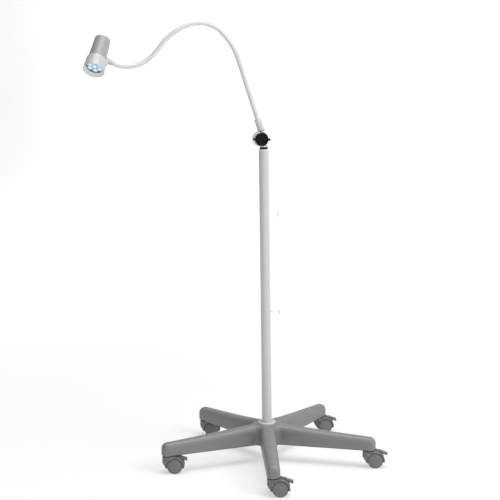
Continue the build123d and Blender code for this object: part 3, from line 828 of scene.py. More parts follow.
def colour(name, description, default):
    """A linear colour with alpha."""
    return bpy.props.FloatVectorProperty(
        name=name, description=description, default=(*default, 1.0), size=4, subtype="COLOR", min=0.0, max=1.0
    )


class LightBaseSettings(bpy.types.PropertyGroup):
    """Sizes of the star base."""

    hub_top: size("Hub top", "Height of the hub's top", 127.0)
    bottom: size("Bottom", "Height of the base's lower edge", 60.5)
    tip_top: size("Tip top", "Height of the legs' tips", 99.0)
    leg_reach: size("Leg reach", "From the column's axis to a leg's tip", 365.0)
    leg_half_root: size("Half width at root", "Half the width of a leg at the hub", 25.0)
    leg_half_tip: size("Half width at tip", "Half the width of a leg at its tip", 20.5)
    web_radius: size("Web radius", "Radius between two legs", 14.0)
    tip_corner: size("Tip corner", "Corner radius of a leg's tip in plan", 17.0)
    edge_round: size("Edge rounding", "Radius of the legs' upper edges", 19.0)
    wall: size("Wall", "Thickness of the base's wall", 4.0)
    first_leg: plain_number("First leg", "Direction of the first leg, in degrees from X", -87.5)
    castor_circle: size("Castor circle", "Radius on which the castor stems stand", 343.0)


class LightColumnSettings(bpy.types.PropertyGroup):
    """Sizes of the column and its hooks."""

    radius: size("Radius", "Outer radius of the column", 16.0)
    cap_height: size("Cap height", "Height of the cap above the tube", 7.0)
    ring_radius: size("Ring radius", "Radius of the black ring at the top", 13.4)
    collar_radius: size("Collar radius", "Radius of the collar at the foot", 29.0)
    hook_wire: size("Hook wire", "Radius of the hooks' wire", 2.0)
    hook_reach: size("Hook reach", "From the column's axis to the hook's tip", 50.0)
    hook_tip: size("Hook tip", "Length of the hook's bent tip", 13.0)
    hook_angle: plain_number("Hook direction", "Direction of the hooks, in degrees from X", 25.0)


class LightCastorSettings(bpy.types.PropertyGroup):
    """Sizes of a castor."""

    wheel_radius: size("Wheel radius", "Radius of a wheel", 25.0)
    wheel_width: size("Wheel width", "Width of one wheel", 13.0)
    trail: size("Trail", "From the stem to the axle", 20.0)
    hood_half: size("Hood half width", "Half the width of a hood", 21.0)


class LightNeckSettings(bpy.types.PropertyGroup):
    """Sizes of the knuckle and the gooseneck."""

    radius: size("Neck radius", "Radius of the gooseneck", 7.25)
    knuckle_offset: size("Knuckle offset", "From the hinge's axis to the stems", 12.0)
    ferrule_radius: size("Ferrule radius", "Radius of the ferrule", 11.0)
    collar_end: size("Ferrule start", "Where the ferrule starts along its stem", 25.0)
    ferrule_end: size("Ferrule end", "Where the ferrule ends along its stem", 62.0)
    lean: plain_number("Lean", "Lean of the neck's root from upright, in degrees", 18.0)
    knob_radius: size("Knob radius", "Radius of the clamp knob", 21.8)


class LightHeadSettings(bpy.types.PropertyGroup):
    """Sizes of the lamp head, along its axis from the neck's entry, positive to the rear."""

    twist: plain_number("Twist", "Twist of the head about the neck, in degrees", 32.0)
    entry_reach: size("Entry reach", "From the neck's end to the head's axis", 32.5)
    rim: size("Rim", "Place of the rim", -56.0)
    housing_rear: size("Housing rear", "Place of the housing's rear edge", -13.0)
    rim_radius: size("Rim radius", "Radius of the rim", 32.8)
    housing_radius: size("Housing radius", "Radius of the housing", 31.4)
    cup_depth: size("Cup depth", "Depth of the recess in front of the lenses", 12.0)
    cup_mouth: size("Cup mouth", "Inner radius at the rim", 30.4)
    cup_throat: size("Cup throat", "Inner radius at the cover glass", 26.6)
    body_rear: size("Body rear", "Place of the grey body's rear end", 63.0)
    body_front_radius: size("Body front radius", "Radius of the grey body at the housing", 26.9)
    body_rear_radius: size("Body rear radius", "Radius of the grey body at its end", 24.3)
    optic_ring: size("Optic ring", "Radius of the ring of lenses", 17.6)
    optic_radius: size("Optic radius", "Radius of one lens", 8.4)


class LightFinishSettings(bpy.types.PropertyGroup):
    """Colours of the finishes."""

    base_colour: colour("Base", "Paint of the base", (0.185, 0.185, 0.187))
    castor_colour: colour("Castors", "Plastic of the castor hoods", (0.095, 0.095, 0.097))
    wheel_colour: colour("Wheels", "Plastic of the wheels", (0.15, 0.15, 0.151))
    column_colour: colour("Column", "Paint of the column", (0.5, 0.5, 0.497))
    knuckle_colour: colour("Knuckle", "Paint of the knuckle", (0.66, 0.65, 0.61))
    neck_colour: colour("Neck", "Sheath of the gooseneck", (0.56, 0.56, 0.555))
    housing_colour: colour("Housing", "Plastic of the lamp housing", (0.45, 0.45, 0.447))
    body_colour: colour("Body", "Paint of the lamp's grey body", (0.285, 0.277, 0.298))
    holder_colour: colour("Holder", "Plate round the lenses", (0.11, 0.24, 0.36))
    optic_glow: plain_number("Lens glow", "Light of the lens mouldings", 0.55)
    heart_glow: plain_number("Heart glow", "Light of the lens centres", 1.1)
    cone_glow: plain_number("Cone glow", "Light the lamp throws on its cone", 0.62)


class LightStageSettings(bpy.types.PropertyGroup):
    """Camera and studio."""

    camera_place: bpy.props.FloatVectorProperty(
        name="Camera place",
        description="Where the camera stands",
        default=(-0.042, -4.048, 1.4),
        subtype="TRANSLATION",
    )
    camera_yaw: plain_number("Yaw", "Turn of the camera about the vertical, in degrees", -0.09)
    camera_pitch: plain_number("Pitch", "How far the camera looks down, in degrees", 9.69)
    camera_roll: plain_number("Roll", "Roll of the camera, in degrees", -0.78)
    camera_lens: plain_number("Lens", "Focal length in millimetres", 91.0)


SETTINGS = {
    "light_base": LightBaseSettings,
    "light_column": LightColumnSettings,
    "light_castor": LightCastorSettings,
    "light_neck": LightNeckSettings,
    "light_head": LightHeadSettings,
    "light_finish": LightFinishSettings,
    "light_stage": LightStageSettings,
}
FINISHES = {}


def finish(name):
    """One of the light's materials; all of them are made at the first call."""
    if not FINISHES:
        FINISHES.update(build_materials(bpy.context.scene.light_finish))
    return FINISHES[name]


# ---------------------------------------------------------------- operators
class LIGHT_OT_base(bpy.types.Operator):
    """Build the star base with its ribs and bosses"""

    bl_idname = "light.base"
    bl_label = "Star base"

    def execute(self, context):
        base = context.scene.light_base
        vertices, faces = star_skin(base)
        skin = mesh_piece("star_base_shell", vertices, faces, 50.0)
        wall = skin.modifiers.new("Wall", "SOLIDIFY")
        wall.thickness = base.wall
        wall.offset = -1.0
        wall.use_even_offset = True
        wall.use_rim = True
        dress(skin, "stand", "base", "base_paint", "star_base")

        bosses = []
        hub = [(16.2, 78), (16.2, 121), (24, 121), (24, 62), (22.5, 60.6)]
        hub += [(7, 60.6), (6, 61.6), (6, 78), (16.2, 78)]
        centre = Matrix.Identity(4)
        bosses.append(turned_piece("hub_boss", [mm(*point) for point in hub], centre, 64))
        stem = [(9.5, 60.6), (9.5, 86.5), (0, 86.5), (0, 97), (9, 97)]
        stem += [(14.5, 91.5), (14.5, 61.4), (13.7, 60.6), (9.5, 60.6)]
        rib_half = 1.4 * MM
        for leg in range(LEG_COUNT):
            angle = leg_direction(leg, base)
            outward = Vector((math.cos(angle), math.sin(angle), 0))
            place = Matrix.Translation(outward * base.castor_circle)
            bosses.append(turned_piece("stem_boss", [mm(*point) for point in stem], place, 48))
            # one rib along the leg and three across it
            side = axis_frame((0, 0, 0), outward.cross(Vector((0, 0, 1))), outward)
            rib = [(23.5, 63), (329.5, 63), (329.5, 96), (100, 111), (23.5, 121)]
            rib_outline = [mm(*point) for point in rib]
            up_side = 1 if (side @ Vector((0, 1, 0))).z > 0 else -1
            rib_outline = [(x, z * up_side) for x, z in rib_outline]
            bosses.append(plate_piece("leg_rib", rib_outline, side, -rib_half, rib_half, 0.5 * MM, 2))
            for station in (110, 190, 270):
                half = leg_half_width(station * MM, base) - base.wall + 0.3 * MM
                top = base_height(station * MM, base) - base.wall - 4 * MM
                across = axis_frame(outward * (station * MM), outward, (0, 0, 1))
                web = [(64 * MM, -half), (top, -half), (top + 3.5 * MM, 5 * MM - half)]
                web += [(x, -y) for x, y in reversed(web)]
                bosses.append(plate_piece("cross_rib", web, across, -rib_half, rib_half, 0.4 * MM, 2))
        inside = join_pieces("base_ribs", bosses)
        dress(inside, "stand", "base", "base_paint")
        return {"FINISHED"}


class LIGHT_OT_column(bpy.types.Operator):
    """Build the column with its collar, cap, ring and cord gland"""

    bl_idname = "light.column"
    bl_label = "Column"

    def execute(self, context):
        column = context.scene.light_column
        upright = Matrix.Identity(4)
        low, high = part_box("column_tube")
        radius = column.radius
        tube = [(radius - 1.5 * MM, low.z), (radius, low.z)]
        tube += [(radius, low.z + (high.z - low.z) * share / 40) for share in range(1, 40)]
        tube += [(radius, high.z - 0.3 * MM), (radius - 0.3 * MM, high.z), (radius - 1.5 * MM, high.z)]
        piece = turned_piece("column_shell", tube, upright, 96)
        dress(piece, "stand", "column", "column_paint", "column_tube")

        low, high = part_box("column_cap")
        top = high.z
        seam = top - column.cap_height
        cap = [
            (8.1 * MM, seam - 4 * MM), (radius - 1.6 * MM, seam - 4 * MM),
            (radius - 1.6 * MM, seam + 0.2 * MM), (radius - 0.5 * MM, seam + 0.2 * MM),
            (radius, seam + 0.7 * MM), (radius, top - 0.2 * MM), (8.1 * MM, top),
            (8.1 * MM, seam - 4 * MM),
        ]
        piece = turned_piece("column_top_cap", rounded(cap, mm(0, 0, 0, 0.3, 0.4, 1.6, 0, 0)), upright, 96)
        dress(piece, "stand", "knuckle", "ring_paint", "column_cap")

        low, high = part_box("swivel_ring")
        ring_radius = column.ring_radius
        middle = (low.z + high.z) / 2
        ring = [
            (8.2 * MM, low.z), (ring_radius, low.z), (ring_radius, middle - 0.4 * MM),
            (ring_radius - 0.7 * MM, middle), (ring_radius, middle + 0.4 * MM),
            (ring_radius, high.z), (8.2 * MM, high.z), (8.2 * MM, low.z),
        ]
        ring = rounded(ring, mm(0, 0.9, 0.2, 0.2, 0.2, 0.9, 0, 0))
        piece = turned_piece("swivel_seal", ring, upright, 96)
        dress(piece, "stand", "black", "black_plastic", "swivel_ring")

        low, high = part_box("foot_ring")
        outer = column.collar_radius
        collar = [
            (radius + 0.1 * MM, low.z + 1 * MM), (radius + 0.4 * MM, high.z - 1.4 * MM),
            (radius + 1.2 * MM, high.z - 2.2 * MM), (outer - 7.4 * MM, high.z - 2.6 * MM),
            (outer - 5.6 * MM, high.z), (outer - 1.8 * MM, high.z), (outer, high.z - 2.2 * MM),
            (outer, low.z - 1.6 * MM), (outer - 2 * MM, low.z - 2 * MM),
        ]
        collar = rounded(collar, mm(0, 0.4, 0.5, 1.2, 1.2, 1.4, 1.4, 0.3, 0))
        piece = turned_piece("foot_collar", collar, upright, 96)
        dress(piece, "stand", "neck", "ring_paint", "foot_ring")

        low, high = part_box("cord_gland")
        centre = (low + high) / 2
        back = axis_frame((0, 0, centre.z), (0, 1, 0), (1, 0, 0))
        depth = high.y
        gland = [
            (3.2 * MM, radius - 4 * MM), (6.0 * MM, radius - 4 * MM), (6.0 * MM, radius - 0.8 * MM),
            (8.5 * MM, radius - 0.5 * MM), (8.5 * MM, depth - 1.6 * MM), (7.0 * MM, depth),
            (4.2 * MM, depth), (3.2 * MM, depth - 1.2 * MM), (3.2 * MM, radius - 4 * MM),
        ]
        gland = rounded(gland, mm(0, 0, 0, 0.4, 1.0, 0.8, 0.6, 0.5, 0))
        piece = turned_piece("gland_body", gland, back, 48)
        dress(piece, "stand", "black", "black_plastic", "cord_gland")
        return {"FINISHED"}


class LIGHT_OT_hooks(bpy.types.Operator):
    """Build the two bent-wire cord hooks"""

    bl_idname = "light.hooks"
    bl_label = "Cord hooks"

    def execute(self, context):
        column = context.scene.light_column
        angle = math.radians(column.hook_angle)
        outward = Vector((math.cos(angle), math.sin(angle), 0))
        up = Vector((0, 0, 1))
        for node, turn in (("upper_hook", 1), ("lower_hook", -1)):
            low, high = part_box(node)
            height = low.z + column.hook_wire if turn > 0 else high.z - column.hook_wire
            corner = 4.5 * MM
            tip = column.hook_tip
            reach = column.hook_reach
            path = [mm(13, 0), mm(20, 0), mm(30, 0), (reach, 0), (reach, turn * tip)]
            path = rounded(path, [0, 0, 0, corner, 0], 10)
            points = [outward * p.x + up * (height + p.y) for p in path]
            wire = column.hook_wire
            radii = [wire] * len(points)
            # the rounded end of the wire
            end = height + turn * (tip - 0.6 * wire)
            for angle in (15, 30, 45, 60, 75, 86):
                lift = wire * 0.6 * math.sin(math.radians(angle))
                points.append(outward * reach + up * (end + turn * lift))
                radii.append(wire * math.cos(math.radians(angle)))
            points[len(path) - 1] = outward * reach + up * end
            bar = swept_piece("hook_bar", points, radii, 24, hint=outward.cross(up))
            seat = axis_frame(Vector((0, 0, height)), outward)
            weld = [
                (wire + 1.7 * MM, column.radius - 1.2 * MM),
                (wire + 1.3 * MM, column.radius + 0.1 * MM),
                (wire + 0.5 * MM, column.radius + 0.7 * MM),
                (wire - 0.2 * MM, column.radius + 1.6 * MM),
            ]
            bead = turned_piece("hook_weld", weld, seat, 24, 60)
            piece = join_pieces(f"{node}_wire", [bar, bead])
            dress(piece, "stand", "hook", "hook_steel", node)
        return {"FINISHED"}


class LIGHT_OT_castors(bpy.types.Operator):
    """Finish the castor hoods, axles and brake levers and build their wheels"""

    bl_idname = "light.castors"
    bl_label = "Castors"

    def execute(self, context):
        castor = context.scene.light_castor
        for name in CASTORS:
            self.make_hood(name, castor)
            self.make_well_shade_sheets(name, castor)
            dress_node(f"{name}_castor_axle", "steel")
            dress_node(f"{name}_brake_lever", "castor")
            for side, sign in (("left", -1), ("right", 1)):
                joint = JOINTS[f"{name}_wheel_{side}_spin"]
                axle = Vector(joint["pos_m"])
                axle.y -= sign * castor.wheel_width / 2
                place = axis_frame(axle, (0, sign, 0), (1, 0, 0))
                radius = castor.wheel_radius
                width = castor.wheel_width
                profile = [
                    (3.1 * MM, 0.0), (7 * MM, 0.0), (8 * MM, 1.2 * MM), (19.5 * MM, 1.2 * MM),
                    (20.5 * MM, 0.2 * MM), (radius, 0.2 * MM), (radius, width - 2.6 * MM),
                    (radius - 2.8 * MM, width - 1.7 * MM), (radius - 3.4 * MM, width - 2.5 * MM),
                    (radius - 4.1 * MM, width - 2.0 * MM),
                ]
                radii = [0, 0.5, 0.5, 0.5, 0.5, 2.2, 2.4, 0.3, 0.2, 0]
                profile = rounded(profile, mm(*radii))
                # the outer face is a shallow dome
                face = radius - 4.1 * MM
                for share in (0.9, 0.8, 0.7, 0.6, 0.5, 0.4, 0.3, 0.2, 0.1, 0.0):
                    profile.append(Vector((face * share, width + 1.6 * MM - 3.6 * MM * share**2)))
                wheel = turned_piece(f"{name}_twin_wheel_{side}", profile, place, 72)
                dress(wheel, f"{name}_wheel_{side}", "wheel", "wheel_plastic", f"{name}_wheel_{side}")
        return {"FINISHED"}

    @staticmethod
    def make_well_shade_sheets(name, castor):
        """Near-black sheets in the two wheel wells, over the wheels' upper half: painted shade for the shadow
        in the gap between hood and wheels.
        """
        stem = Vector(JOINTS[f"{name}_castor_swivel"]["pos_m"])
        centre = Vector((stem.x + castor.trail, stem.y, castor.wheel_radius))
        outer = castor.wheel_radius + 1.35 * MM
        profile = [(outer - 4 * MM, 8.6 * MM), (outer, 8.6 * MM), (outer, 20.0 * MM)]
        shade_sheets = []
        for side in (-1, 1):
            rows = []
            for radius, across in profile:
                for x, z in arc(radius, -2, 182, 60):
                    rows.append(centre + Vector((x, side * across, z)))
            shade_sheets.append(mesh_piece("well_shade_sheet", rows, grid_faces(len(profile), 61)))
        piece = join_pieces(f"{name}_wheel_shade_sheets", shade_sheets)
        dress(piece, f"{name}_castor", "painted_well_shade", "castor_plastic")

    @staticmethod
    def make_hood(name, castor):
        """The packed hood with its front turned round the stem and its edges softened."""
        node = f"{name}_castor_hood"
        stem = Vector(JOINTS[f"{name}_castor_swivel"]["pos_m"])
        source = frame["nodes"][node]
        hood = add_object(f"{name}_hood_shell", source.data.copy())
        hood.matrix_world = source.matrix_world.copy()
        reach = castor.trail + castor.wheel_radius + 10 * MM
        half = castor.hood_half
        outline = [(reach, -half)]
        outline += [(-x, y) for x, y in arc(half, -90, 90, 48)]
        outline += [(reach, half)]
        place = Matrix.Translation((stem.x, stem.y, 0))
        cutter = plate_piece("hood_cutter", outline, place, -5 * MM, 80 * MM, 1 * MM)
        cut_by(hood, cutter, "INTERSECT", "Round front")
        hood.data.shade_smooth()
        hood.data.set_sharp_from_angle(angle=math.radians(30))
        soften(hood, 1.1 * MM, 3)
        dress(hood, f"{name}_castor", "castor", "castor_plastic", node)


class LIGHT_OT_knuckle(bpy.types.Operator):
    """Finish the swivel post and the tilt head and build the clamp knob and the ferrule"""

    bl_idname = "light.knuckle"
    bl_label = "Knuckle"

    def execute(self, context):
        neck = context.scene.light_neck
        dress_node("swivel_post", "knuckle")
        dress_node("tilt_head", "knuckle")
        dress_node("friction_washer", "dark_socket_and_gap_shade")
        dress_node("pivot_bolt", "steel")
        hinge = axis_frame(PIVOT, ARM_AXIS, LIGHT_SIDE * -1) @ Matrix.Rotation(math.radians(-3.5), 4, "Z")
        knob = neck.knob_radius
        profile = [
            (4.2 * MM, 9.8 * MM), (knob - 1.6 * MM, 9.8 * MM), (knob - 0.2 * MM, 11.2 * MM),
            (knob, 20.6 * MM), (knob - 2.4 * MM, 23.3 * MM), (knob - 5.5 * MM, 23.3 * MM),
            (knob - 7.0 * MM, 21.9 * MM), (8.0 * MM, 21.4 * MM), (6.8 * MM, 22.6 * MM),
            (0.0, 22.9 * MM),
        ]
        profile = rounded(profile, mm(0, 0.8, 0.8, 2.2, 1.4, 0.8, 0.8, 0.5, 0.8, 0))
        grip = self.fluted_knob(profile, hinge)
        wings = []
        for side in (1, -1):
            outline = [
                (side * 9 * MM, 5.2 * MM), (side * 19.0 * MM, 4.4 * MM),
                (side * 23.8 * MM, 3.0 * MM), (side * 25.6 * MM, 3.9 * MM),
                (side * 28.6 * MM, 2.8 * MM), (side * 28.6 * MM, -2.8 * MM),
                (side * 25.6 * MM, -3.9 * MM), (side * 23.8 * MM, -3.0 * MM),
                (side * 19.0 * MM, -4.4 * MM), (side * 9 * MM, -5.2 * MM),
            ]
            outline = rounded_loop(outline, mm(0, 2, 2, 2, 2, 2, 2, 2, 2, 0), 4)
            wings.append(plate_piece("knob_wing", outline, hinge, 13.6 * MM, 21.4 * MM, 1.6 * MM, 4))
        bar = [(-17 * MM, -2.2 * MM), (17 * MM, -2.2 * MM), (17 * MM, 2.2 * MM), (-17 * MM, 2.2 * MM)]
        wings.append(plate_piece("knob_bar", bar, hinge, 19 * MM, 23.4 * MM, 1.2 * MM, 4))
        piece = join_pieces("clamp_knob_body", [grip] + wings)
        dress(piece, "clamp_knob", "black", "black_plastic", "clamp_knob")

        foot = on_arm(
            neck.knuckle_offset - neck.knuckle_offset * math.cos(math.radians(neck.lean)),
            PIVOT.z + neck.knuckle_offset * math.sin(math.radians(neck.lean)),
        )
        stem = axis_frame(foot, leaning(neck.lean), ARM_AXIS)
        radius = neck.ferrule_radius
        start, end = neck.collar_end, neck.ferrule_end
        ferrule = [
            (neck.radius, start + 0.2 * MM), (radius, start + 0.2 * MM), (radius, end - 10 * MM),
            (radius - 0.5 * MM, end - 9.3 * MM), (radius - 0.5 * MM, end - 8.7 * MM),
            (radius, end - 8 * MM), (radius, end - 0.4 * MM), (radius - 1.8 * MM, end),
            (neck.radius + 0.3 * MM, end), (neck.radius - 0.05 * MM, end - 0.9 * MM),
            (neck.radius - 0.05 * MM, start + 0.2 * MM),
        ]
        ferrule = rounded(ferrule, mm(0, 0.6, 0.3, 0.2, 0.2, 0.3, 1.5, 0.5, 0.4, 0.3, 0))
        piece = turned_piece("ferrule_sleeve", ferrule, stem, 64)
        dress(piece, "tilt_arm", "column", "knuckle_paint", "neck_ferrule")
        # a washer under the ferrule in near-black: painted shade that stands for the shadow in the gap
        # between ferrule and tilt head
        washer = [
            (neck.radius, start - 1.7 * MM), (radius + 0.7 * MM, start - 1.7 * MM),
            (radius + 0.7 * MM, start), (neck.radius, start),
        ]
        piece = turned_piece("ferrule_shade_washer", rounded(washer, mm(0, 0.5, 0.5, 0), 3), stem, 64)
        dress(piece, "tilt_arm", "dark_socket_and_gap_shade", "black_plastic")
        return {"FINISHED"}

    @staticmethod
    def fluted_knob(profile, place):
        """The knob's body, with shallow flutes round its side."""
        steps = 144
        flutes = 18
        vertices = []
        outer = max(radius for radius, height in profile)
        for radius, height in profile:
            share = max(0.0, (radius - outer * 0.88) / (outer * 0.12))
            for step in range(steps):
                angle = 2 * math.pi * step / steps
                wave = 0.5 - 0.5 * math.cos(angle * flutes)
                depth = 0.7 * MM * share * wave**2
                reach = radius - depth
                vertices.append(place @ Vector((reach * math.cos(angle), reach * math.sin(angle), height)))
        return mesh_piece("knob_grip", vertices, grid_faces(len(profile), steps, closed=True))


class LIGHT_OT_neck(bpy.types.Operator):
    """Build the gooseneck's sheath, one length across each of its joints"""

    bl_idname = "light.neck"
    bl_label = "Gooseneck"

    def execute(self, context):
        neck = context.scene.light_neck
        spacing = NECK_LENGTH / len(NECK_JOINTS)
        stops = [-20 * MM] + [spacing * (index + 1) for index in range(len(NECK_JOINTS) - 1)]
        stops.append(NECK_LENGTH + 8 * MM)
        step = 2.0 * MM
        for index, joint in enumerate(NECK_JOINTS):
            start, end = stops[index], stops[index + 1]
            count = round((end - start) / step)
            path = [neck_point(start + (end - start) * share / count, neck) for share in range(count + 1)]
            piece = swept_piece(f"neck_sheath_{index + 1}", path, neck.radius, 40, hint=ARM_AXIS, caps=False)
            nodes = [f"neck_link_{index + 1}"]
            if index == len(NECK_JOINTS) - 1:
                nodes.append(f"neck_link_{index + 2}")
            piece.data.materials.append(finish("neck"))
            bend_start = path[round(count * 0.04)]
            bend_end = path[-1 - round(count * 0.04)]
            if index == 0:
                bend_start = neck_point(12 * MM, neck)
            if index == len(NECK_JOINTS) - 1:
                bend_end = neck_point(NECK_LENGTH - 16 * MM, neck)
            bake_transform(piece)
            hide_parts(*nodes)
        return {"FINISHED"}


class LIGHT_OT_head(bpy.types.Operator):
    """Build the lamp head: housing, grey body, collar, lenses and what lies behind them"""

    bl_idname = "light.head"
    bl_label = "Lamp head"

    def execute(self, context):
        neck = context.scene.light_neck
        head = context.scene.light_head
        place = head_frame(neck, head)
        rim, rear = head.rim, head.housing_rear
        radius = head.housing_radius
        housing = [
            (head.cup_throat, rim + head.cup_depth + 0.2 * MM),
            (head.cup_throat + 0.4 * MM, rim + head.cup_depth - 0.4 * MM),
            (head.cup_mouth, rim + 0.8 * MM), (head.cup_mouth + 0.5 * MM, rim),
            (head.rim_radius - 0.4 * MM, rim), (head.rim_radius, rim + 1.0 * MM),
            (head.rim_radius - 0.2 * MM, rim + 5 * MM), (radius, rim + 22 * MM),
            (radius, rear - 6.5 * MM), (radius - 1.2 * MM, rear - 1.2 * MM),
            (radius - 4.2 * MM, rear), (24.7 * MM, rear), (24.7 * MM, rear - 2 * MM),
        ]
        radii = [0, 0.3, 0.4, 0.5, 0.5, 0.6, 3, 8, 4, 3.2, 0.8, 0.3, 0]
        housing = rounded(housing, mm(*radii), 6)
        shell = turned_piece("housing_shell", housing, place, 128)
        boss = self.make_boss(place, head)
        piece = join_pieces("lamp_housing_shell", [shell, boss])
        dress(piece, "lamp_head", "housing", "housing_plastic", "lamp_housing")

        front, tail = head.body_front_radius, head.body_rear_radius
        body = [
            (24.4 * MM, rear - 1.5 * MM), (24.4 * MM, rear + 0.35 * MM), (front, rear + 0.35 * MM),
            (front, rear + 1.4 * MM), (tail + 0.2 * MM, head.body_rear - 6 * MM),
            (tail, head.body_rear - 1.0 * MM), (tail - 1.2 * MM, head.body_rear),
            (tail - 4 * MM, head.body_rear), (tail - 4.6 * MM, head.body_rear - 0.6 * MM),
            (tail - 5.2 * MM, head.body_rear - 0.2 * MM), (0.0, head.body_rear - 0.1 * MM),
        ]
        radii = [0, 0.2, 0.5, 0.4, 5, 0.8, 0.8, 0.3, 0.2, 0.3, 0]
        piece = turned_piece("rear_body_shell", rounded(body, mm(*radii), 6), place, 128)
        self.notch(piece, place)
        dress(piece, "lamp_head", "body", "body_paint", "rear_body")

        # a thin sheet just inside the cup's cone that glows: painted light for the light the lamps throw on
        # the cone
        throat = head.cup_throat - 0.1 * MM
        cone = [(throat, rim + head.cup_depth - 0.5 * MM), (head.cup_mouth - 0.15 * MM, rim + 1.1 * MM)]
        cone = [Vector(cone[0]).lerp(Vector(cone[1]), share / 8) for share in range(9)]
        piece = turned_piece("cone_light_sheet", cone, place, 128)
        dress(piece, "lamp_head", "painted_cone_light", "housing_plastic")

        self.make_collar(place, neck, head)
        self.make_face(place, head)
        for node, name in (("led_board", "board"), ("driver_board", "board"), ("heat_sink", "sink")):
            dress_node(node, name)
        return {"FINISHED"}

    @staticmethod
    def entry_frame(place, reach):
        """A frame at this reach from the head's axis, its Z out along the neck's entry."""
        turn = place.to_3x3()
        return axis_frame(place @ Vector((reach, 0, 0)), turn @ Vector((1, 0, 0)), turn @ Vector((0, 0, 1)))

    @staticmethod
    def boss_outline(grow):
        """End view of the boss that the neck enters: round on top, straight-sided below."""
        radius = 9.0 * MM + grow
        foot = -20 * MM
        points = [(foot, -radius)]
        points += arc(radius, -90, 90, 24)
        points += [(foot, radius)]
        return points

    def make_boss(self, place, head):
        """The boss on the housing's side that the neck enters."""
        entry = self.entry_frame(place, 20 * MM)
        outline = self.boss_outline(0.0)
        return plate_piece("housing_boss", outline, entry, 5 * MM, head.entry_reach - 18 * MM, 1.2 * MM, 4)

    def notch(self, piece, place):
        """Cuts the clearance for the boss out of the grey body."""
        entry = self.entry_frame(place, 20 * MM)
        outline = self.boss_outline(0.35 * MM)
        cutter = plate_piece("notch_cutter", outline, entry, -1 * MM, 20 * MM, 0.0001 * MM, 1)
        cut_by(piece, cutter, "DIFFERENCE", "Notch")

    def make_collar(self, place, neck, head):
        """The tapered sleeve where the neck meets the boss."""
        along = self.entry_frame(place, 0)
        start = head.entry_reach
        sleeve = [
            (neck.radius, start), (8.6 * MM, start), (8.6 * MM, start + 3 * MM),
            (8.1 * MM, 46 * MM), (7.9 * MM, 50 * MM), (neck.radius + 0.05 * MM, 50.4 * MM),
            (neck.radius - 0.1 * MM, 49 * MM),
        ]
        sleeve = rounded(sleeve, mm(0, 0.3, 0.6, 2, 0.5, 0.2, 0), 4)
        piece = turned_piece("collar_sleeve", sleeve, along, 64)
        dress(piece, "lamp_head", "housing", "housing_plastic", "neck_collar")

    @staticmethod
    def make_face(place, head):
        """The cover glass, the holder plate and the ring of lenses."""
        front = head.rim + head.cup_depth + 0.6 * MM
        radius = head.cup_throat + 0.3 * MM
        glass = [(0.0, front), (radius - 0.4 * MM, front), (radius, front + 0.4 * MM)]
        glass += [(radius, front + 1.2 * MM), (radius - 0.4 * MM, front + 1.6 * MM), (0.0, front + 1.6 * MM)]
        piece = turned_piece("cover_disc", glass, place, 96)
        dress(piece, "lamp_head", "cover", "cover_glass", "lens_cover")

        plate_level = front + 2.7 * MM
        plate_radius = 28.6 * MM
        plate_back = plate_level + 2 * MM
        plate = [(0.0, plate_level), (plate_radius, plate_level)]
        plate += [(plate_radius, plate_back), (0.0, plate_back)]
        piece = turned_piece("holder_plate", plate, place, 96)
        dress(piece, "lamp_head", "holder", "holder_plastic", "optic_holder")

        lens_front = front + 2.0 * MM
        places = [(0.0, 0.0)]
        for index in range(6):
            angle = math.radians(60 * index)
            places.append((head.optic_ring * math.cos(angle), head.optic_ring * math.sin(angle)))
        shells, hearts = [], []
        for x, y in places:
            spot = place @ Matrix.Translation((x, y, 0))
            size_out = head.optic_radius
            cone = [
                (2.6 * MM, lens_front + 0.9 * MM), (4.6 * MM, lens_front + 0.5 * MM),
                (size_out - 1.0 * MM, lens_front + 0.1 * MM), (size_out - 0.4 * MM, lens_front),
                (size_out, lens_front + 0.3 * MM), (size_out - 0.1 * MM, lens_front + 0.9 * MM),
            ]
            cone = rounded(cone, mm(0, 0.5, 0.3, 0.2, 0.3, 0), 4)
            shells.append(turned_piece("optic_cone", cone, spot, 48))
            dome = []
            for angle in range(0, 91, 10):
                turn = math.radians(angle)
                height = lens_front + 0.9 * MM - 0.8 * MM * math.cos(turn)
                dome.append((3.0 * MM * math.sin(turn), height))
            hearts.append(turned_piece("optic_dome", dome, spot, 32))
        piece = join_pieces("optic_mouldings", shells)
        dress(piece, "lamp_head", "optic", "optic_acrylic", "led_optics")
        piece = join_pieces("optic_hearts", hearts)
        dress(piece, "lamp_head", "heart", "optic_acrylic")


class LIGHT_OT_inner(bpy.types.Operator):
    """Finish the pieces that lie inside the stand"""

    bl_idname = "light.inner"
    bl_label = "Inner pieces"

    def execute(self, context):
        for node in ("castor_stems", "column_insert", "column_bolt"):
            dress_node(node, "steel")
        dress_node("castor_sockets", "dark_socket_and_gap_shade")
        return {"FINISHED"}


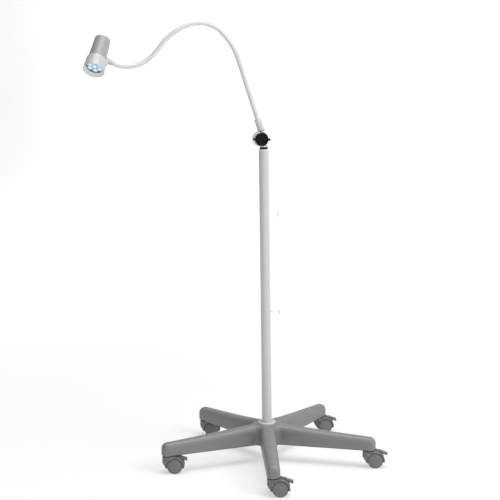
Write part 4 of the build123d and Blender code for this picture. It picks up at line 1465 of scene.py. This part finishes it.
class LIGHT_OT_stage(bpy.types.Operator):
    """Set up the camera, the floor and the soft studio light"""

    bl_idname = "light.stage"
    bl_label = "Stage"

    def execute(self, context):
        stage = context.scene.light_stage
        angles = (stage.camera_yaw, stage.camera_pitch, stage.camera_roll)
        yaw, pitch, roll = (math.radians(angle) for angle in angles)
        ahead = Vector((math.sin(yaw) * math.cos(pitch), math.cos(yaw) * math.cos(pitch), -math.sin(pitch)))
        right = Vector((math.cos(yaw), -math.sin(yaw), 0))
        up = right.cross(ahead)
        x_dir = right * math.cos(roll) + up * math.sin(roll)
        y_dir = up * math.cos(roll) - right * math.sin(roll)
        matrix = Matrix((x_dir, y_dir, ahead * -1)).transposed().to_4x4()
        matrix.translation = Vector(stage.camera_place)
        data = bpy.data.cameras.new("Camera")
        data.lens = stage.camera_lens
        data.sensor_width = 36.0
        data.clip_end = 60.0
        camera = bpy.data.objects.new("Camera", data)
        context.scene.collection.objects.link(camera)
        camera.matrix_world = matrix
        context.scene.camera = camera
        self.make_floor()
        self.make_lights(context)
        return {"FINISHED"}

    @staticmethod
    def make_floor():
        """A round floor that sweeps up all the way round the light, the same shape from every side; its glow
        is dimmer towards -X, so that side of the backdrop looks shaded and sends less light onto the light.
        """
        flat, sweep, height = 9.0, 3.0, 3.6
        profile = [(0.0, 0.0), (flat, 0.0)]
        for angle in range(5, 91, 5):
            turn = math.radians(angle)
            profile.append((flat + sweep * math.sin(turn), sweep - sweep * math.cos(turn)))
        profile.append((flat + sweep, height))
        floor = turned_piece("studio_floor", profile, Matrix.Identity(4), 128, 80)
        material = bpy.data.materials.new("Studio floor")
        material.use_nodes = True
        tree = material.node_tree
        shader = tree.nodes["Principled BSDF"]
        shader.inputs["Base Color"].default_value = (0.42, 0.42, 0.42, 1.0)
        shader.inputs["Roughness"].default_value = 0.9
        # the far floor glows like a lit backdrop
        place = tree.nodes.new("ShaderNodeNewGeometry")
        length = tree.nodes.new("ShaderNodeVectorMath")
        length.operation = "LENGTH"
        tree.links.new(place.outputs["Position"], length.inputs[0])
        far = map_range(tree, length.outputs["Value"], 0.4, 5.0, 0.52, 0.8)
        far.interpolation_type = "SMOOTHSTEP"
        axes = tree.nodes.new("ShaderNodeSeparateXYZ")
        tree.links.new(place.outputs["Position"], axes.inputs[0])
        shade = map_range(tree, axes.outputs["X"], -6.0, -2.0, 0.45, 1.0)
        glow = math_node(tree, "MULTIPLY", far.outputs["Result"], shade.outputs["Result"])
        tree.links.new(glow, shader.inputs["Emission Color"])
        shader.inputs["Emission Strength"].default_value = 1.0
        floor.data.materials.append(material)

    @staticmethod
    def make_lights(context):
        """A wide key from the right, a fill from the left and an even surround."""
        lamps = (
            ("Key light", (3.0, -2.0, 3.0), (0, 0, 0.8), 1.8, 92.0),
            ("Fill light", (-1.6, -4.6, 2.4), (0, 0, 0.8), 2.0, 14.0),
            ("Top light", (0.8, -0.2, 6.5), (0, 0, 0.0), 4.0, 300.0),
        )
        for name, place, target, width, power in lamps:
            data = bpy.data.lights.new(name, "AREA")
            data.shape = "SQUARE"
            data.size = width
            data.energy = power
            lamp = bpy.data.objects.new(name, data)
            context.scene.collection.objects.link(lamp)
            direction = Vector(target) - Vector(place)
            lamp.matrix_world = axis_frame(place, direction * -1)
        world = bpy.data.worlds.new("Studio surround")
        world.use_nodes = True
        background = world.node_tree.nodes["Background"]
        background.inputs["Color"].default_value = (1.0, 1.0, 1.0, 1.0)
        background.inputs["Strength"].default_value = 0.22
        context.scene.world = world
        context.scene.view_settings.view_transform = "Standard"


class LIGHT_PT_panel(bpy.types.Panel):
    """Lists the light's pieces and their settings."""

    bl_idname = "LIGHT_PT_panel"
    bl_label = "Examination light"
    bl_space_type = "VIEW_3D"
    bl_region_type = "UI"
    bl_category = "Examination light"

    def draw(self, context):
        for operator in OPERATORS:
            self.layout.operator(operator.bl_idname, text=operator.bl_label)
        for name, group in SETTINGS.items():
            box = self.layout.box()
            box.label(text=group.__doc__.split(".")[0])
            for key in group.__annotations__:
                box.prop(getattr(context.scene, name), key)


OPERATORS = (
    LIGHT_OT_stage,
    LIGHT_OT_base,
    LIGHT_OT_column,
    LIGHT_OT_hooks,
    LIGHT_OT_castors,
    LIGHT_OT_knuckle,
    LIGHT_OT_neck,
    LIGHT_OT_head,
    LIGHT_OT_inner,
)


def register():
    """Makes the settings, operators and panel known to Blender."""
    for name, group in SETTINGS.items():
        bpy.utils.register_class(group)
        setattr(bpy.types.Scene, name, bpy.props.PointerProperty(type=group))
    for operator in OPERATORS:
        bpy.utils.register_class(operator)
    bpy.utils.register_class(LIGHT_PT_panel)


def unregister():
    """Undoes register."""
    bpy.utils.unregister_class(LIGHT_PT_panel)
    for operator in reversed(OPERATORS):
        bpy.utils.unregister_class(operator)
    for name, group in reversed(SETTINGS.items()):
        delattr(bpy.types.Scene, name)
        bpy.utils.unregister_class(group)


def main():
    """Builds the whole light."""
    register()
    for operator in OPERATORS:
        category, name = operator.bl_idname.split(".")
        getattr(getattr(bpy.ops, category), name)()


if __name__ == "__main__":
    main()
